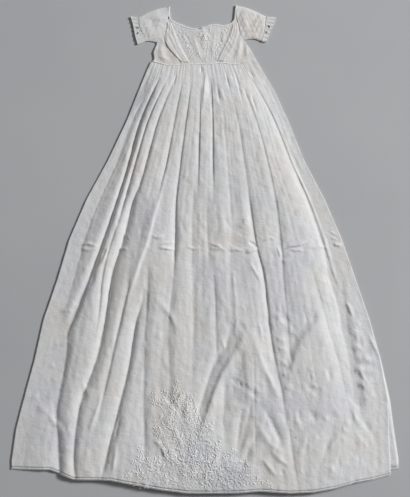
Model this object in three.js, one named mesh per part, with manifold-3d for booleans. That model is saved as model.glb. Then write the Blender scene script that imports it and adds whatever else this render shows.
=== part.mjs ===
// A long christening gown of fine white cotton, laid on its back on a table with its front up.
// Millimetres. +X is the right of the view, +Y points to the shoulders, +Z is up from the table.
// A place is given as across, the distance from the middle line, and down, the distance below the
// highest point of the shoulders. Left and right are the viewer's.
import * as THREE from "three";
import { mergeVertices } from "three/addons/utils/BufferGeometryUtils.js";
import Module from "manifold-3d";

// Driving sizes
const gownLength = 1029;
const wall = 1.1; // one layer of cloth
const seamGap = 0.3; // clear space between two pieces that are sewn together
const layerGap = 0.4; // clear space between the back layer and the front layer that lies on it
const frontUnder = wall + layerGap;
const frontTop = frontUnder + wall;

// Skirt
const skirtColumns = 96;
const gathersAtWaist = 24;
const gatherHeight = 1.2;
const gatherReach = 85; // how far below the waist the small gathers run out
const swellHeight = 7.5; // how far the front stands off the back between two folds
const swellStart = 70;
const edgeTaper = 46;
const edgingWidth = 5;
const skirtRows = [0, 0.012, 0.035, 0.07, 0.115, 0.17, 0.24, 0.32, 0.4, 0.48, 0.57, 0.66, 0.75, 0.84, 0.92, 1];
const backColumns = 20;
const backRows = [0, 0.06, 0.13, 0.22, 0.32, 0.45, 0.6, 0.75, 0.88, 1];

// Bodice and sleeves
const pipingWidth = 3.2;
const pipingHeight = 2.9;
const casingWidth = 4;
const casingHeight = 2.3;
const strapShare = 0.12; // the neckline's two ends, where the strap is the casing alone
const armholeGap = 0.25; // from the seam line to the bodice's edge; the sleeve keeps its own seam gap
const tuckCount = 3;
const tuckHeight = 0.9;
const robingLift = 1.2; // how far the free outer edge of a robing stands up
const sleeveDepth = 3.5; // the flattened sleeve at its two creases
const sleeveLoft = 2.2; // what its upper layer rises above that in the middle
const sleeveLength = 45;
const sleeveWrinkles = { along: 9, across: 5, share: 0.25 };
const sleeveStations = 5;
const frillWaves = 7;
const frillWaveHeight = 0.9;

const cottonLawn = { color: 0xe6e5e6, roughness: 0.9, metalness: 0 };
const cottonTrim = { color: 0xefeeec, roughness: 0.85, metalness: 0 };

// Outline of the skirt. The front's right edge is folded under near the hem, so the back shows there.
const skirtSections = [
  { down: 112, left: -110, frontRight: 105, backRight: 105 },
  { down: 138, left: -122, frontRight: 120, backRight: 120 },
  { down: 180, left: -139, frontRight: 145, backRight: 145 },
  { down: 243, left: -164, frontRight: 174, backRight: 174 },
  { down: 327, left: -204, frontRight: 208, backRight: 208 },
  { down: 411, left: -250, frontRight: 252, backRight: 252 },
  { down: 495, left: -286, frontRight: 288, backRight: 288 },
  { down: 579, left: -311, frontRight: 317, backRight: 317 },
  { down: 663, left: -340, frontRight: 346, backRight: 346 },
  { down: 747, left: -359, frontRight: 369, backRight: 370 },
  { down: 831, left: -382, frontRight: 385, backRight: 389 },
  { down: 893, left: -398, frontRight: 386, backRight: 397 },
  { down: 957, left: -407, frontRight: 389, backRight: 407 },
  { down: 1029, left: -407, frontRight: 391, backRight: 407 },
];

// Lowest edge of the front and of the back, edging included.
const hemLine = [
  { across: -407, front: 977, back: 976 },
  { across: -325, front: 978, back: 977 },
  { across: -300, front: 988, back: 987 },
  { across: -275, front: 998, back: 997 },
  { across: -200, front: 999, back: 998 },
  { across: -124, front: 1013, back: 1014 },
  { across: -99, front: 1018, back: 1022 },
  { across: -68, front: 1022, back: 1027 },
  { across: -36, front: 1026, back: 1029 },
  { across: 65, front: 1026, back: 1025 },
  { across: 116, front: 1022, back: 1021 },
  { across: 178, front: 1026, back: 1025 },
  { across: 229, front: 1024, back: 1023 },
  { across: 279, front: 1015, back: 1014 },
  { across: 317, front: 1005, back: 1004 },
  { across: 355, front: 999, back: 996 },
  { across: 391, front: 990, back: 979 },
  { across: 407, front: 978, back: 977 },
];

// The seam between bodice and skirt, along the middle of its piping, in the front and in the back.
const waistLine = [
  { across: -110, front: 119, back: 119 },
  { across: -94, front: 123, back: 121.5 },
  { across: -76, front: 127.5, back: 123 },
  { across: -54, front: 126.5, back: 124.5 },
  { across: -10, front: 125, back: 125.5 },
  { across: 10, front: 125.5, back: 125 },
  { across: 25, front: 122.5, back: 124.5 },
  { across: 40, front: 122.5, back: 123.5 },
  { across: 62, front: 125, back: 121.5 },
  { across: 76, front: 122.5, back: 119.5 },
  { across: 93, front: 117, back: 116 },
  { across: 105, front: 112, back: 112 },
];

// The troughs of the front panel: their place across at each of these depths, null where a fold
// isn't there, how deep each sinks, and how wide its two flanks are at the hem.
const foldDepths = [150, 240, 330, 410, 500, 590, 680, 770, 860, 940, 1010];
const folds = [
  { sink: 4.5, left: 12, right: 24, at: [null, -152, -186, -232, -271, -292, -325, -353, -361, null, null] },
  { sink: 7.5, left: 26, right: 16, at: [-93, -133, -160, -183, -214, -248, -284, -296, -306, -307, -304] },
  { sink: 4.0, left: 14, right: 14, at: [null, null, null, -166, -197, -211, -229, null, null, null, null] },
  { sink: 7.0, left: 15, right: 26, at: [-76, -118, -135, -143, -172, -193, -205, -232, -259, -275, null] },
  { sink: 4.5, left: 12, right: 16, at: [null, null, null, null, null, null, null, -218, -236, -255, -268] },
  { sink: 5.0, left: 14, right: 18, at: [-60, -97, -119, -121, -128, -161, -184, -200, null, null, null] },
  { sink: 5.0, left: 18, right: 14, at: [-44, -63, -80, -101, -113, -134, -163, -183, null, null, null] },
  { sink: 6.5, left: 16, right: 24, at: [null, null, null, null, null, -118, -138, -161, -180, -198, -210] },
  { sink: 6.0, left: 12, right: 22, at: [null, null, null, null, null, null, -124, -128, -128, -129, null] },
  { sink: 5.0, left: 18, right: 18, at: [-27, -39, -51, -59, -64, -70, -75, -74, -70, null, null] },
  { sink: 4.0, left: 15, right: 20, at: [null, -11, -13, -28, -26, -23, -25, -29, null, null, null] },
  { sink: 5.0, left: 18, right: 14, at: [12, 17, 17, 3, 5, 20, 24, 18, -13, null, null] },
  { sink: 3.0, left: 22, right: 22, at: [null, 38, 47, 53, 54, 51, 45, null, null, null, null] },
  { sink: 6.0, left: 24, right: 13, at: [44, 68, 82, 94, 107, 125, 139, 153, 171, 186, 203] },
  { sink: 7.5, left: 14, right: 26, at: [70, 106, 131, 148, 162, 165, 172, 184, null, null, null] },
  { sink: 7.5, left: 26, right: 13, at: [96, 144, 178, 216, 248, 277, 295, 314, 331, 338, null] },
  { sink: 4.0, left: 12, right: 16, at: [null, null, 191, 230, 268, 290, null, null, null, null, null] },
  { sink: 4.5, left: 20, right: 14, at: [null, null, null, null, null, 232, 259, 285, 322, null, null] },
  { sink: 4.0, left: 16, right: 20, at: [null, null, null, null, null, null, null, 40, 40, 41, null] },
  { sink: 4.5, left: 14, right: 20, at: [null, null, null, null, null, null, null, 118, 91, 60, null] },
  { sink: 4.0, left: 16, right: 14, at: [null, null, null, null, null, null, null, null, 112, 97, 58] },
  { sink: 3.5, left: 18, right: 12, at: [null, null, null, null, null, null, null, null, 288, 272, 240] },
];

// The neckline from the left shoulder to the right one, along the outer edge of its casing.
const neckLine = [
  { across: -74, down: 4.8 },
  { across: -73.6, down: 20 },
  { across: -70.5, down: 31 },
  { across: -63, down: 36 },
  { across: -46, down: 43 },
  { across: -31, down: 48 },
  { across: -12, down: 49.6 },
  { across: 0, down: 45.6 },
  { across: 10, down: 42 },
  { across: 22, down: 40.6 },
  { across: 36, down: 43.2 },
  { across: 48, down: 40.5 },
  { across: 56.5, down: 35.8 },
  { across: 60.4, down: 30 },
  { across: 61.8, down: 20 },
  { across: 63.6, down: 1.5 },
];

// Armhole seams, from the shoulder to the underarm.
const armholeLeft = [
  { across: -79, down: 5.6 },
  { across: -80, down: 22 },
  { across: -83.5, down: 35 },
  { across: -83, down: 52 },
  { across: -89, down: 66 },
  { across: -102, down: 80 },
];
const armholeRight = [
  { across: 68.6, down: 2.6 },
  { across: 68, down: 20 },
  { across: 70, down: 36 },
  { across: 74, down: 56 },
  { across: 78, down: 68 },
  { across: 83, down: 75 },
];

// Side seams of the bodice, from the underarm to the waist.
const sideLeft = [
  { across: -101.5, down: 82 },
  { across: -108.5, down: 99 },
  { across: -107, down: 110 },
  { across: -109, down: 117 },
];
const sideRight = [
  { across: 83.5, down: 77 },
  { across: 94, down: 91 },
  { across: 100.5, down: 102 },
  { across: 103.5, down: 110 },
];

// Where the centre insert, the worked bands and the side fronts meet at the neck and at the waist.
const frontSeams = [
  { name: "left_outer", neck: -72, waist: -30 },
  { name: "left_inner", neck: -50, waist: -1.5 },
  { name: "right_inner", neck: 11, waist: 1.5 },
  { name: "right_outer", neck: 57, waist: 31 },
];

const backOpening = { neck: -5, waist: -2 };

// The robings: free outer edge and sewn inner edge, from the neckline to the waist.
const robingLeft = {
  outer: [
    { across: -80, down: 37 },
    { across: -81.5, down: 50 },
    { across: -86, down: 64.5 },
    { across: -77, down: 88 },
    { across: -50, down: 120 },
  ],
  inner: [
    { across: -71, down: 39 },
    { across: -62, down: 58 },
    { across: -50, down: 89 },
    { across: -33, down: 121 },
  ],
};
const robingRight = {
  outer: [
    { across: 68.5, down: 37.5 },
    { across: 71.5, down: 58 },
    { across: 57, down: 91 },
    { across: 39, down: 118.5 },
  ],
  inner: [
    { across: 57.5, down: 42.5 },
    { across: 53, down: 58 },
    { across: 38, down: 90 },
    { across: 25, down: 118 },
  ],
};

// Sleeves: upper crease, lower crease, the line where the frill is sewn on, and the frill's edge.
const sleeveLeft = {
  upper: [
    { across: -79.4, down: 5.2 },
    { across: -92, down: 7 },
    { across: -117, down: 15.5 },
    { across: -140, down: 27 },
  ],
  lower: [
    { across: -102.4, down: 79.6 },
    { across: -112, down: 77 },
    { across: -124, down: 76.8 },
  ],
  cuffLine: [
    { across: -140, down: 27 },
    { across: -137, down: 50 },
    { across: -129, down: 64 },
    { across: -124, down: 76.8 },
  ],
  frillEdge: [
    { across: -157, down: 24.5 },
    { across: -151.5, down: 42 },
    { across: -148, down: 60 },
    { across: -146, down: 70 },
    { across: -141.5, down: 84 },
  ],
  holes: [
    { along: 0.42, out: 0.42, length: 8.2, width: 4.4, turn: 0.1 },
    { along: 0.62, out: 0.6, length: 4.4, width: 4.2, turn: 0 },
  ],
};
const sleeveRight = {
  upper: [
    { across: 69, down: 2.2 },
    { across: 82, down: 5 },
    { across: 106, down: 14 },
    { across: 129, down: 25.5 },
  ],
  lower: [
    { across: 83.4, down: 74.6 },
    { across: 95, down: 72 },
    { across: 106, down: 72.6 },
    { across: 119, down: 77 },
  ],
  cuffLine: [
    { across: 129, down: 25.5 },
    { across: 127, down: 42 },
    { across: 124.5, down: 59 },
    { across: 119, down: 77 },
  ],
  frillEdge: [
    { across: 149, down: 26.5 },
    { across: 145.5, down: 40.5 },
    { across: 138, down: 54 },
    { across: 135, down: 64 },
    { across: 129, down: 79 },
  ],
  holes: [
    { along: 0.4, out: 0.46, length: 6.4, width: 7.4, turn: -0.3 },
    { along: 0.62, out: 0.36, length: 4.4, width: 4.2, turn: 0 },
  ],
};

// The knot of the neck's drawstring, on the middle of the casing.
const knot = { across: -6.5, down: 48, width: 6.5, height: 4.4, depth: 3 };

const shoulderY = gownLength / 2;
const lerp = THREE.MathUtils.lerp;
const clamp = THREE.MathUtils.clamp;
const smoothstep = THREE.MathUtils.smoothstep;

const place = (across, down, z = 0) => new THREE.Vector3(across, shoulderY - down, z);

// A smooth plan curve through a table of places, as a function of the share of its length.
function curve(table) {
  const points = table.map((row) => place(row.across, row.down));
  const line = new THREE.CatmullRomCurve3(points, false, "centripetal");
  return (t) => line.getPointAt(clamp(t, 0, 1));
}

// A table's column at a value of its first one, straight between the rows.
function between(table, key, value, name) {
  const last = table.length - 1;
  let i = 0;
  while (i < last - 1 && table[i + 1][key] < value) i++;
  const from = table[i];
  const to = table[i + 1];
  const share = clamp((value - from[key]) / (to[key] - from[key]), 0, 1);
  return lerp(from[name], to[name], share);
}

// The same as a smooth curve: each row's slope is that of the line between its neighbours.
function smoothBetween(table, key, value, name) {
  const last = table.length - 1;
  let i = 0;
  while (i < last - 1 && table[i + 1][key] < value) i++;
  const slope = (k) => {
    const [before, after] = [table[Math.max(k - 1, 0)], table[Math.min(k + 1, last)]];
    return (after[name] - before[name]) / (after[key] - before[key]);
  };
  const span = table[i + 1][key] - table[i][key];
  const t = clamp((value - table[i][key]) / span, 0, 1);
  const towards = (3 - 2 * t) * t * t;
  const bend = span * (slope(i) * t * (1 - t) ** 2 - slope(i + 1) * t * t * (1 - t));
  return lerp(table[i][name], table[i + 1][name], towards) + bend;
}

// A closed body from its corner points and triangles, turned so that its faces point out.
function body(points, triangles) {
  let volume = 0;
  for (const [a, b, c] of triangles) {
    volume += points[a].dot(points[b].clone().cross(points[c]));
  }
  const turned = volume < 0 ? triangles.map(([a, b, c]) => [a, c, b]) : triangles;
  const geometry = new THREE.BufferGeometry();
  geometry.setAttribute("position", new THREE.Float32BufferAttribute(points.flatMap((p) => p.toArray()), 3));
  geometry.setIndex(turned.flat());
  geometry.computeVertexNormals();
  return geometry;
}

const steps = (count) => Array.from({ length: count + 1 }, (_, i) => i / count);

// A wall over a grid. upper(u, v) is its upper face, with u running to +X and v to the hem. The lower
// face is one thickness below along the surface's own normal, and straight below along the rim.
function wallOver(us, vs, upper) {
  const width = us.length;
  const height = vs.length;
  const top = vs.map((v) => us.map((u) => upper(u, v)));
  const under = top.map((row, j) =>
    row.map((point, i) => {
      const rim = i === 0 || j === 0 || i === width - 1 || j === height - 1;
      const normal = new THREE.Vector3(0, 0, 1);
      if (!rim) {
        const alongU = row[i + 1].clone().sub(row[i - 1]);
        const alongV = top[j + 1][i].clone().sub(top[j - 1][i]);
        normal.crossVectors(alongV, alongU).normalize();
      }
      return point.clone().addScaledVector(normal, -wall);
    }),
  );
  const points = [...top.flat(), ...under.flat()];
  const offset = width * height;
  const at = (i, j) => j * width + i;
  const triangles = [];
  for (let j = 0; j < height - 1; j++) {
    for (let i = 0; i < width - 1; i++) {
      const [a, b, c, d] = [at(i, j), at(i + 1, j), at(i + 1, j + 1), at(i, j + 1)];
      triangles.push([a, d, c], [a, c, b]);
      triangles.push([a + offset, c + offset, d + offset], [a + offset, b + offset, c + offset]);
    }
  }
  const rim = (p, q) => triangles.push([p, q, q + offset], [p, q + offset, p + offset]);
  for (let i = 0; i < width - 1; i++) {
    rim(at(i, 0), at(i + 1, 0));
    rim(at(i + 1, height - 1), at(i, height - 1));
  }
  for (let j = 0; j < height - 1; j++) {
    rim(at(0, j + 1), at(0, j));
    rim(at(width - 1, j), at(width - 1, j + 1));
  }
  return body(points, triangles);
}

// A narrow band with a domed top, laid along a path of points that stand on what is below it.
function bandAlong(path, width, height) {
  const section = [
    { out: -0.5, up: 0 },
    { out: -0.5, up: 0.55 },
    { out: -0.25, up: 1 },
    { out: 0.25, up: 1 },
    { out: 0.5, up: 0.55 },
    { out: 0.5, up: 0 },
  ];
  const sides = section.length;
  const points = path.flatMap((point, i) => {
    const ahead = path[Math.min(i + 1, path.length - 1)];
    const behind = path[Math.max(i - 1, 0)];
    const direction = ahead.clone().sub(behind).setZ(0).normalize();
    const outwards = new THREE.Vector3(-direction.y, direction.x, 0);
    return section.map(({ out, up }) =>
      point.clone().addScaledVector(outwards, out * width).add(new THREE.Vector3(0, 0, up * height)),
    );
  });
  const triangles = [];
  for (let i = 0; i < path.length - 1; i++) {
    for (let k = 0; k < sides; k++) {
      const a = i * sides + k;
      const b = i * sides + ((k + 1) % sides);
      triangles.push([a, b, b + sides], [a, b + sides, a + sides]);
    }
  }
  const end = (path.length - 1) * sides;
  for (let k = 1; k < sides - 1; k++) {
    triangles.push([0, k + 1, k], [end, end + k, end + k + 1]);
  }
  return body(points, triangles);
}

// A patch between four plan curves: along(s, t) runs from head to end with s, and from the upper
// side to the lower one with t.
function patch(head, end, upper, lower) {
  return (s, t) => {
    const ruled = head(t).lerp(end(t), s).add(upper(s).lerp(lower(s), t));
    const corners = head(0).lerp(end(0), s).lerp(head(1).lerp(end(1), s), t);
    return ruled.sub(corners);
  };
}

// Place of a fold at a depth, and how strong it is there: it fades out over half a step past its ends.
function foldAt(fold, down) {
  const last = foldDepths.length - 1;
  let i = 0;
  while (i < last - 1 && foldDepths[i + 1] < down) i++;
  const share = clamp((down - foldDepths[i]) / (foldDepths[i + 1] - foldDepths[i]), 0, 1);
  const from = fold.at[i];
  const to = fold.at[i + 1];
  if (from === null && to === null) return { across: 0, strength: 0 };
  if (from === null) return { across: to, strength: smoothstep(share, 0.4, 1) };
  if (to === null) return { across: from, strength: 1 - smoothstep(share, 0, 0.6) };
  return { across: lerp(from, to, share), strength: 1 };
}

const skirtEdge = (name, down) => between(skirtSections, "down", down, name);
const hemAt = (side, across) => between(hemLine, "across", across, side);
const waistAt = (side, across) => smoothBetween(waistLine, "across", across, side);

// Plan place on the skirt: u runs between the side edges, v from the waist seam to the edging. The
// seam's depth depends on the place across, which depends on the depth, so it is found in a few turns.
function skirtPlace(side, u, v) {
  const rightName = side === "front" ? "frontRight" : "backRight";
  const acrossAt = (down) => lerp(skirtEdge("left", down), skirtEdge(rightName, down), u);
  let start = waistLine[0][side];
  for (let turn = 0; turn < 6; turn++) start = waistAt(side, acrossAt(start)) + pipingWidth / 2 + seamGap;
  const end = hemAt(side, acrossAt(gownLength)) - edgingWidth - seamGap;
  const down = lerp(start, end, v);
  return { across: acrossAt(down), down };
}

// Height of the front panel over the layer below: a swell, less the folds' troughs, plus the gathers.
function frontHeight(u, across, down) {
  const fromEdge = Math.min(across - skirtEdge("left", down), skirtEdge("frontRight", down) - across);
  const spread = (skirtEdge("frontRight", down) - skirtEdge("left", down)) / 800;
  const belowWaist = down - waistAt("front", across);
  let height = swellHeight * smoothstep(fromEdge, -4, edgeTaper * spread) * smoothstep(belowWaist, -10, swellStart);
  for (const fold of folds) {
    const { across: middle, strength } = foldAt(fold, down);
    const side = across - middle;
    const reach = (side < 0 ? fold.left : fold.right) * Math.max(spread, 0.35);
    height -= fold.sink * strength * Math.exp(-((side / reach) ** 2)) * smoothstep(belowWaist, 0, swellStart);
  }
  const gather = 0.5 - 0.5 * Math.cos(2 * Math.PI * gathersAtWaist * u);
  return Math.max(height, 0) + gatherHeight * gather * (1 - smoothstep(belowWaist, 0, gatherReach));
}

function skirtFront(u, v) {
  const { across, down } = skirtPlace("front", u, v);
  return place(across, down, frontTop + frontHeight(u, across, down));
}

function skirtBack(u, v) {
  const { across, down } = skirtPlace("back", u, v);
  return place(across, down, wall);
}

// The edging hangs from the last row of points of its panel.
const edging = (panel) => (u, v) =>
  panel(u, 1).add(new THREE.Vector3(0, -seamGap - edgingWidth * v, 0));

// Plan curve of the neckline moved inwards by a distance.
const neck = curve(neckLine);
function neckInside(t, distance) {
  const step = 0.004;
  const direction = neck(t + step).sub(neck(t - step)).normalize();
  return neck(t).add(new THREE.Vector3(direction.y, -direction.x, 0).multiplyScalar(distance));
}

// Share of the neckline's length at which its casing's inner side has the given distance across.
function neckShare(across) {
  let [low, high] = [strapShare, 1 - strapShare];
  for (let turn = 0; turn < 30; turn++) {
    const middle = (low + high) / 2;
    if (neckInside(middle, casingWidth).x < across) low = middle;
    else high = middle;
  }
  return low;
}

const waistTop = (side, across) => place(across, waistAt(side, across) - pipingWidth / 2 - seamGap);

// A flat piece of one layer, cut to a closed outline of plan points.
function flatPiece(outline, under) {
  const shape = new THREE.Shape(outline.map((point) => new THREE.Vector2(point.x, point.y)));
  const geometry = new THREE.ExtrudeGeometry(shape, { depth: wall, bevelEnabled: false });
  return geometry.translate(0, 0, under);
}

// Outline runs along the neckline's casing, between two shares of it, and along the waist seam.
const neckRun = (from, to) => steps(14).map((t) => neckInside(lerp(from, to, t), casingWidth + seamGap));
const waistRun = (side, from, to) => steps(14).map((t) => waistTop(side, lerp(from, to, t)));

// A bodice piece between two straight seams.
const frontPiece = (left, right) => flatPiece(
  [
    ...neckRun(neckShare(left.neck + seamGap / 2), neckShare(right.neck - seamGap / 2)),
    ...waistRun("front", right.waist - seamGap / 2, left.waist + seamGap / 2),
  ],
  frontUnder,
);

// A bodice piece between a straight seam and the flank, the armhole and side seam in one line. It
// starts below the shoulder, where the strap is no wider than the casing.
function flankPiece(side, seam, flank, under) {
  const mirrored = flank.at(-1).across > 0;
  const inwards = mirrored ? -1 : 1;
  const line = curve(flank);
  const seamSide = (across) => across - (inwards * seamGap) / 2;
  const neckPoints = neckRun(mirrored ? 1 - strapShare : strapShare, neckShare(seamSide(seam.neck)));
  const edge = steps(26)
    .map((t) => line(t).add(new THREE.Vector3(inwards * armholeGap, 0, 0)))
    .filter((point) => point.y < neckPoints[0].y - 1);
  const waistPoints = waistRun(side, seamSide(seam.waist), edge.at(-1).x);
  return flatPiece([...neckPoints, ...waistPoints.slice(0, -1), ...edge.reverse()], under);
}

// A robing lies on the front pieces, so it starts from their upper face. Its tucks are rounded
// ridges, and its free edge stands up a little.
function robing(edges, mirrored) {
  const outerEdge = curve(edges.outer);
  const innerEdge = curve(edges.inner);
  return (u, v) => {
    const fromOuter = mirrored ? 1 - u : u;
    const point = outerEdge(v).lerp(innerEdge(v), fromOuter);
    const tuck = tuckHeight * Math.abs(Math.sin(Math.PI * tuckCount * fromOuter));
    const lift = robingLift * Math.exp(-fromOuter * 5) * Math.sin(Math.PI * clamp(v, 0.05, 0.95));
    return point.setZ(frontTop + seamGap + wall + tuck + lift);
  };
}

// A sleeve is a flattened tube with open ends. Its ring runs over the upper layer and back under,
// through these shares of its width, which lie closer together at the two rounded creases.
const ringShares = [0, 0.02, 0.07, 0.15, 0.25, 0.37, 0.5, 0.63, 0.75, 0.85, 0.93, 0.98, 1];
const sleeveRing = [
  ...ringShares.map((share) => ({ share, over: 1 })),
  ...ringShares.slice(1, -1).reverse().map((share) => ({ share, over: -1 })),
];
function sleeve(armhole, edges) {
  const plan = patch(curve(armhole), curve(edges.cuffLine), curve(edges.upper), curve(edges.lower));
  const ring = (s, { share, over }, inset) => {
    const width = plan(s, 0).distanceTo(plan(s, 1));
    const side = 2 * share - 1;
    const rise = over * Math.sqrt(1 - side ** 6) * (sleeveDepth / 2 - inset);
    const phase = sleeveWrinkles.along * s + sleeveWrinkles.across * side;
    const wrinkle = 1 - sleeveWrinkles.share * (1 - Math.cos(phase));
    const loft = over > 0 ? sleeveLoft * (1 - side * side) * wrinkle * (1 - 0.75 * s * s) : 0;
    return plan(s, 0.5 + side * (0.5 - inset / width)).setZ(sleeveDepth / 2 + rise + loft);
  };
  const points = [];
  for (const inset of [0, wall]) {
    for (const s of steps(sleeveStations)) {
      const held = clamp(s, seamGap / sleeveLength, 1 - seamGap / sleeveLength);
      for (const spot of sleeveRing) points.push(ring(held, spot, inset));
    }
  }
  const offset = points.length / 2;
  const sides = sleeveRing.length;
  const triangles = [];
  for (let i = 0; i < sleeveStations; i++) {
    for (let k = 0; k < sides; k++) {
      const a = i * sides + k;
      const b = i * sides + ((k + 1) % sides);
      const [c, d] = [b + sides, a + sides];
      triangles.push([a, b, c], [a, c, d], [a + offset, c + offset, b + offset], [a + offset, d + offset, c + offset]);
    }
  }
  for (let k = 0; k < sides; k++) {
    const next = (k + 1) % sides;
    const end = sleeveStations * sides;
    triangles.push([k, k + offset, next + offset], [k, next + offset, next]);
    triangles.push([end + k, end + next, end + next + offset], [end + k, end + next + offset, end + k + offset]);
  }
  return body(points, triangles);
}

// One layer of a frill, from the cuff line to its edge. The upper layer waves, the lower lies flat.
function frill(edges, mirrored, raised) {
  const line = curve(edges.cuffLine);
  const edge = curve(edges.frillEdge);
  return (u, v) => {
    const out = mirrored ? u : 1 - u;
    const point = line(v).lerp(edge(v), out);
    point.x += (mirrored ? 1 : -1) * seamGap * (1 - out);
    const wave = 0.5 - 0.5 * Math.cos(2 * Math.PI * frillWaves * v);
    return point.setZ(raised ? frontTop + frillWaveHeight * wave * (0.4 + 0.6 * out) : wall);
  };
}

const wasm = await Module();
wasm.setup();

function toManifold(geometry) {
  const bare = geometry.clone();
  for (const name of ["normal", "uv"]) bare.deleteAttribute(name);
  const merged = mergeVertices(bare, 1e-3);
  return new wasm.Manifold(
    new wasm.Mesh({
      numProp: 3,
      vertProperties: merged.attributes.position.array,
      triVerts: new Uint32Array(merged.index.array),
    }),
  );
}

function fromManifold(manifold) {
  const mesh = manifold.getMesh();
  const geometry = new THREE.BufferGeometry();
  geometry.setAttribute("position", new THREE.BufferAttribute(mesh.vertProperties, mesh.numProp));
  geometry.setIndex(new THREE.BufferAttribute(mesh.triVerts, 1));
  geometry.computeVertexNormals();
  return geometry;
}

// A frill's layer with its worked holes cut through.
function cutFrill(edges, mirrored) {
  const surface = frill(edges, mirrored, true);
  let solid = toManifold(wallOver(steps(5), steps(4 * frillWaves), surface));
  for (const hole of edges.holes) {
    const cutter = new THREE.CylinderGeometry(0.5, 0.5, 12, 12);
    cutter.rotateX(Math.PI / 2).scale(hole.length, hole.width, 1).rotateZ(hole.turn);
    const centre = surface(mirrored ? hole.out : 1 - hole.out, hole.along);
    cutter.translate(centre.x, centre.y, frontTop);
    solid = solid.subtract(toManifold(cutter));
  }
  return fromManifold(solid);
}

const gown = new THREE.Group();
gown.name = "christening_gown";

function add(name, geometry, finish) {
  const mesh = new THREE.Mesh(geometry, new THREE.MeshStandardMaterial({ ...finish, side: THREE.DoubleSide }));
  mesh.name = name;
  gown.add(mesh);
}

// Skirt panels and their edgings
add("skirt_back", wallOver(steps(backColumns), backRows, skirtBack), cottonLawn);
add("skirt_front", wallOver(steps(skirtColumns), skirtRows, skirtFront), cottonLawn);
add("hem_edging_back", wallOver(steps(backColumns), [0, 1], edging(skirtBack)), cottonTrim);
add("hem_edging_front", wallOver(steps(skirtColumns), [0, 1], edging(skirtFront)), cottonTrim);

// Waist piping over the seam of each layer
const pipingPath = (side, z) => steps(44).map((t) => {
  const across = lerp(waistLine[0].across, waistLine.at(-1).across, t);
  return place(across, waistAt(side, across), z);
});
add("waist_piping_back", bandAlong(pipingPath("back", 0), pipingWidth, wall), cottonTrim);
add("waist_piping_front", bandAlong(pipingPath("front", frontUnder), pipingWidth, pipingHeight), cottonTrim);

// Bodice back in two halves that meet at the centre opening
const flankLeft = [...armholeLeft, ...sideLeft];
const flankRight = [...armholeRight, ...sideRight];
add("bodice_back_left", flankPiece("back", backOpening, flankLeft, 0), cottonLawn);
add("bodice_back_right", flankPiece("back", backOpening, flankRight, 0), cottonLawn);

// Bodice front: side fronts, worked bands, centre insert, and the robings laid over their seams
const [leftOuter, leftInner, rightInner, rightOuter] = frontSeams;
add("bodice_side_left", flankPiece("front", leftOuter, flankLeft, frontUnder), cottonLawn);
add("bodice_side_right", flankPiece("front", rightOuter, flankRight, frontUnder), cottonLawn);
add("bodice_band_left", frontPiece(leftOuter, leftInner), cottonLawn);
add("bodice_insert", frontPiece(leftInner, rightInner), cottonLawn);
add("bodice_band_right", frontPiece(rightInner, rightOuter), cottonLawn);
add("robing_left", wallOver(steps(12), steps(10), robing(robingLeft, false)), cottonLawn);
add("robing_right", wallOver(steps(12), steps(10), robing(robingRight, true)), cottonLawn);

// Neck casing of each layer, and the drawstring's knot
const casingPath = (z) => steps(34).map((t) => neckInside(t, casingWidth / 2).setZ(z));
add("neck_casing_back", bandAlong(casingPath(0), casingWidth, wall), cottonTrim);
add("neck_casing_front", bandAlong(casingPath(frontUnder), casingWidth, casingHeight), cottonTrim);
const knotShape = new THREE.SphereGeometry(0.5, 12, 8);
knotShape.scale(knot.width, knot.height, knot.depth);
const knotSeat = frontUnder + casingHeight + seamGap + knot.depth / 2;
knotShape.translate(knot.across, shoulderY - knot.down, knotSeat);
add("neck_tie_knot", knotShape, cottonTrim);

// Sleeves and their frills
add("sleeve_left", sleeve(armholeLeft, sleeveLeft), cottonLawn);
add("sleeve_right", sleeve(armholeRight, sleeveRight), cottonLawn);
add("cuff_frill_left_front", cutFrill(sleeveLeft, false), cottonTrim);
add("cuff_frill_right_front", cutFrill(sleeveRight, true), cottonTrim);
add("cuff_frill_left_back", wallOver(steps(3), steps(10), frill(sleeveLeft, false, false)), cottonTrim);
add("cuff_frill_right_back", wallOver(steps(3), steps(10), frill(sleeveRight, true, false)), cottonTrim);

export default gown;
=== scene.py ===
import bpy
import numpy as np
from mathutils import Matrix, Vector


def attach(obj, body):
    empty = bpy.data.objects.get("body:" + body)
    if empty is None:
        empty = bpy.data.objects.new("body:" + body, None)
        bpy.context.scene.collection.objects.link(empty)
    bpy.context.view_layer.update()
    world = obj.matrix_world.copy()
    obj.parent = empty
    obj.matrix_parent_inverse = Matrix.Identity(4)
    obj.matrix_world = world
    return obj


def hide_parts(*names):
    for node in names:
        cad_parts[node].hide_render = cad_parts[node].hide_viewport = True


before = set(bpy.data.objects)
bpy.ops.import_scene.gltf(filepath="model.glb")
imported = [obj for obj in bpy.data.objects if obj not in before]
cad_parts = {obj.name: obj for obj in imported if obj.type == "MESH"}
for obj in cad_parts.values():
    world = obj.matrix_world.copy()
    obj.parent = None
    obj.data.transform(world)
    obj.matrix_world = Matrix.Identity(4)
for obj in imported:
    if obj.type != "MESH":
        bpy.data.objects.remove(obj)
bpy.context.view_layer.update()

# View
# The gown lies on its back and is seen from straight above, its shoulders away from the viewer.
# The view takes in 861 by 1044 mm of the table.
MM = 0.001
view_height_mm = 1043.7
view_centre_mm = (0.0, 2.1)
cloth_level_mm = 4.0  # the level at which the view's height is measured
lens_mm = 85
sensor_mm = 36

camera_data = bpy.data.cameras.new("camera")
camera_data.lens = lens_mm
camera_data.sensor_width = sensor_mm
camera = bpy.data.objects.new("camera", camera_data)
camera_height_mm = view_height_mm * lens_mm / sensor_mm + cloth_level_mm
camera.location = Vector((*view_centre_mm, camera_height_mm)) * MM
bpy.context.scene.collection.objects.link(camera)
bpy.context.scene.camera = camera
bpy.context.scene.view_settings.view_transform = "Standard"

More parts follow.
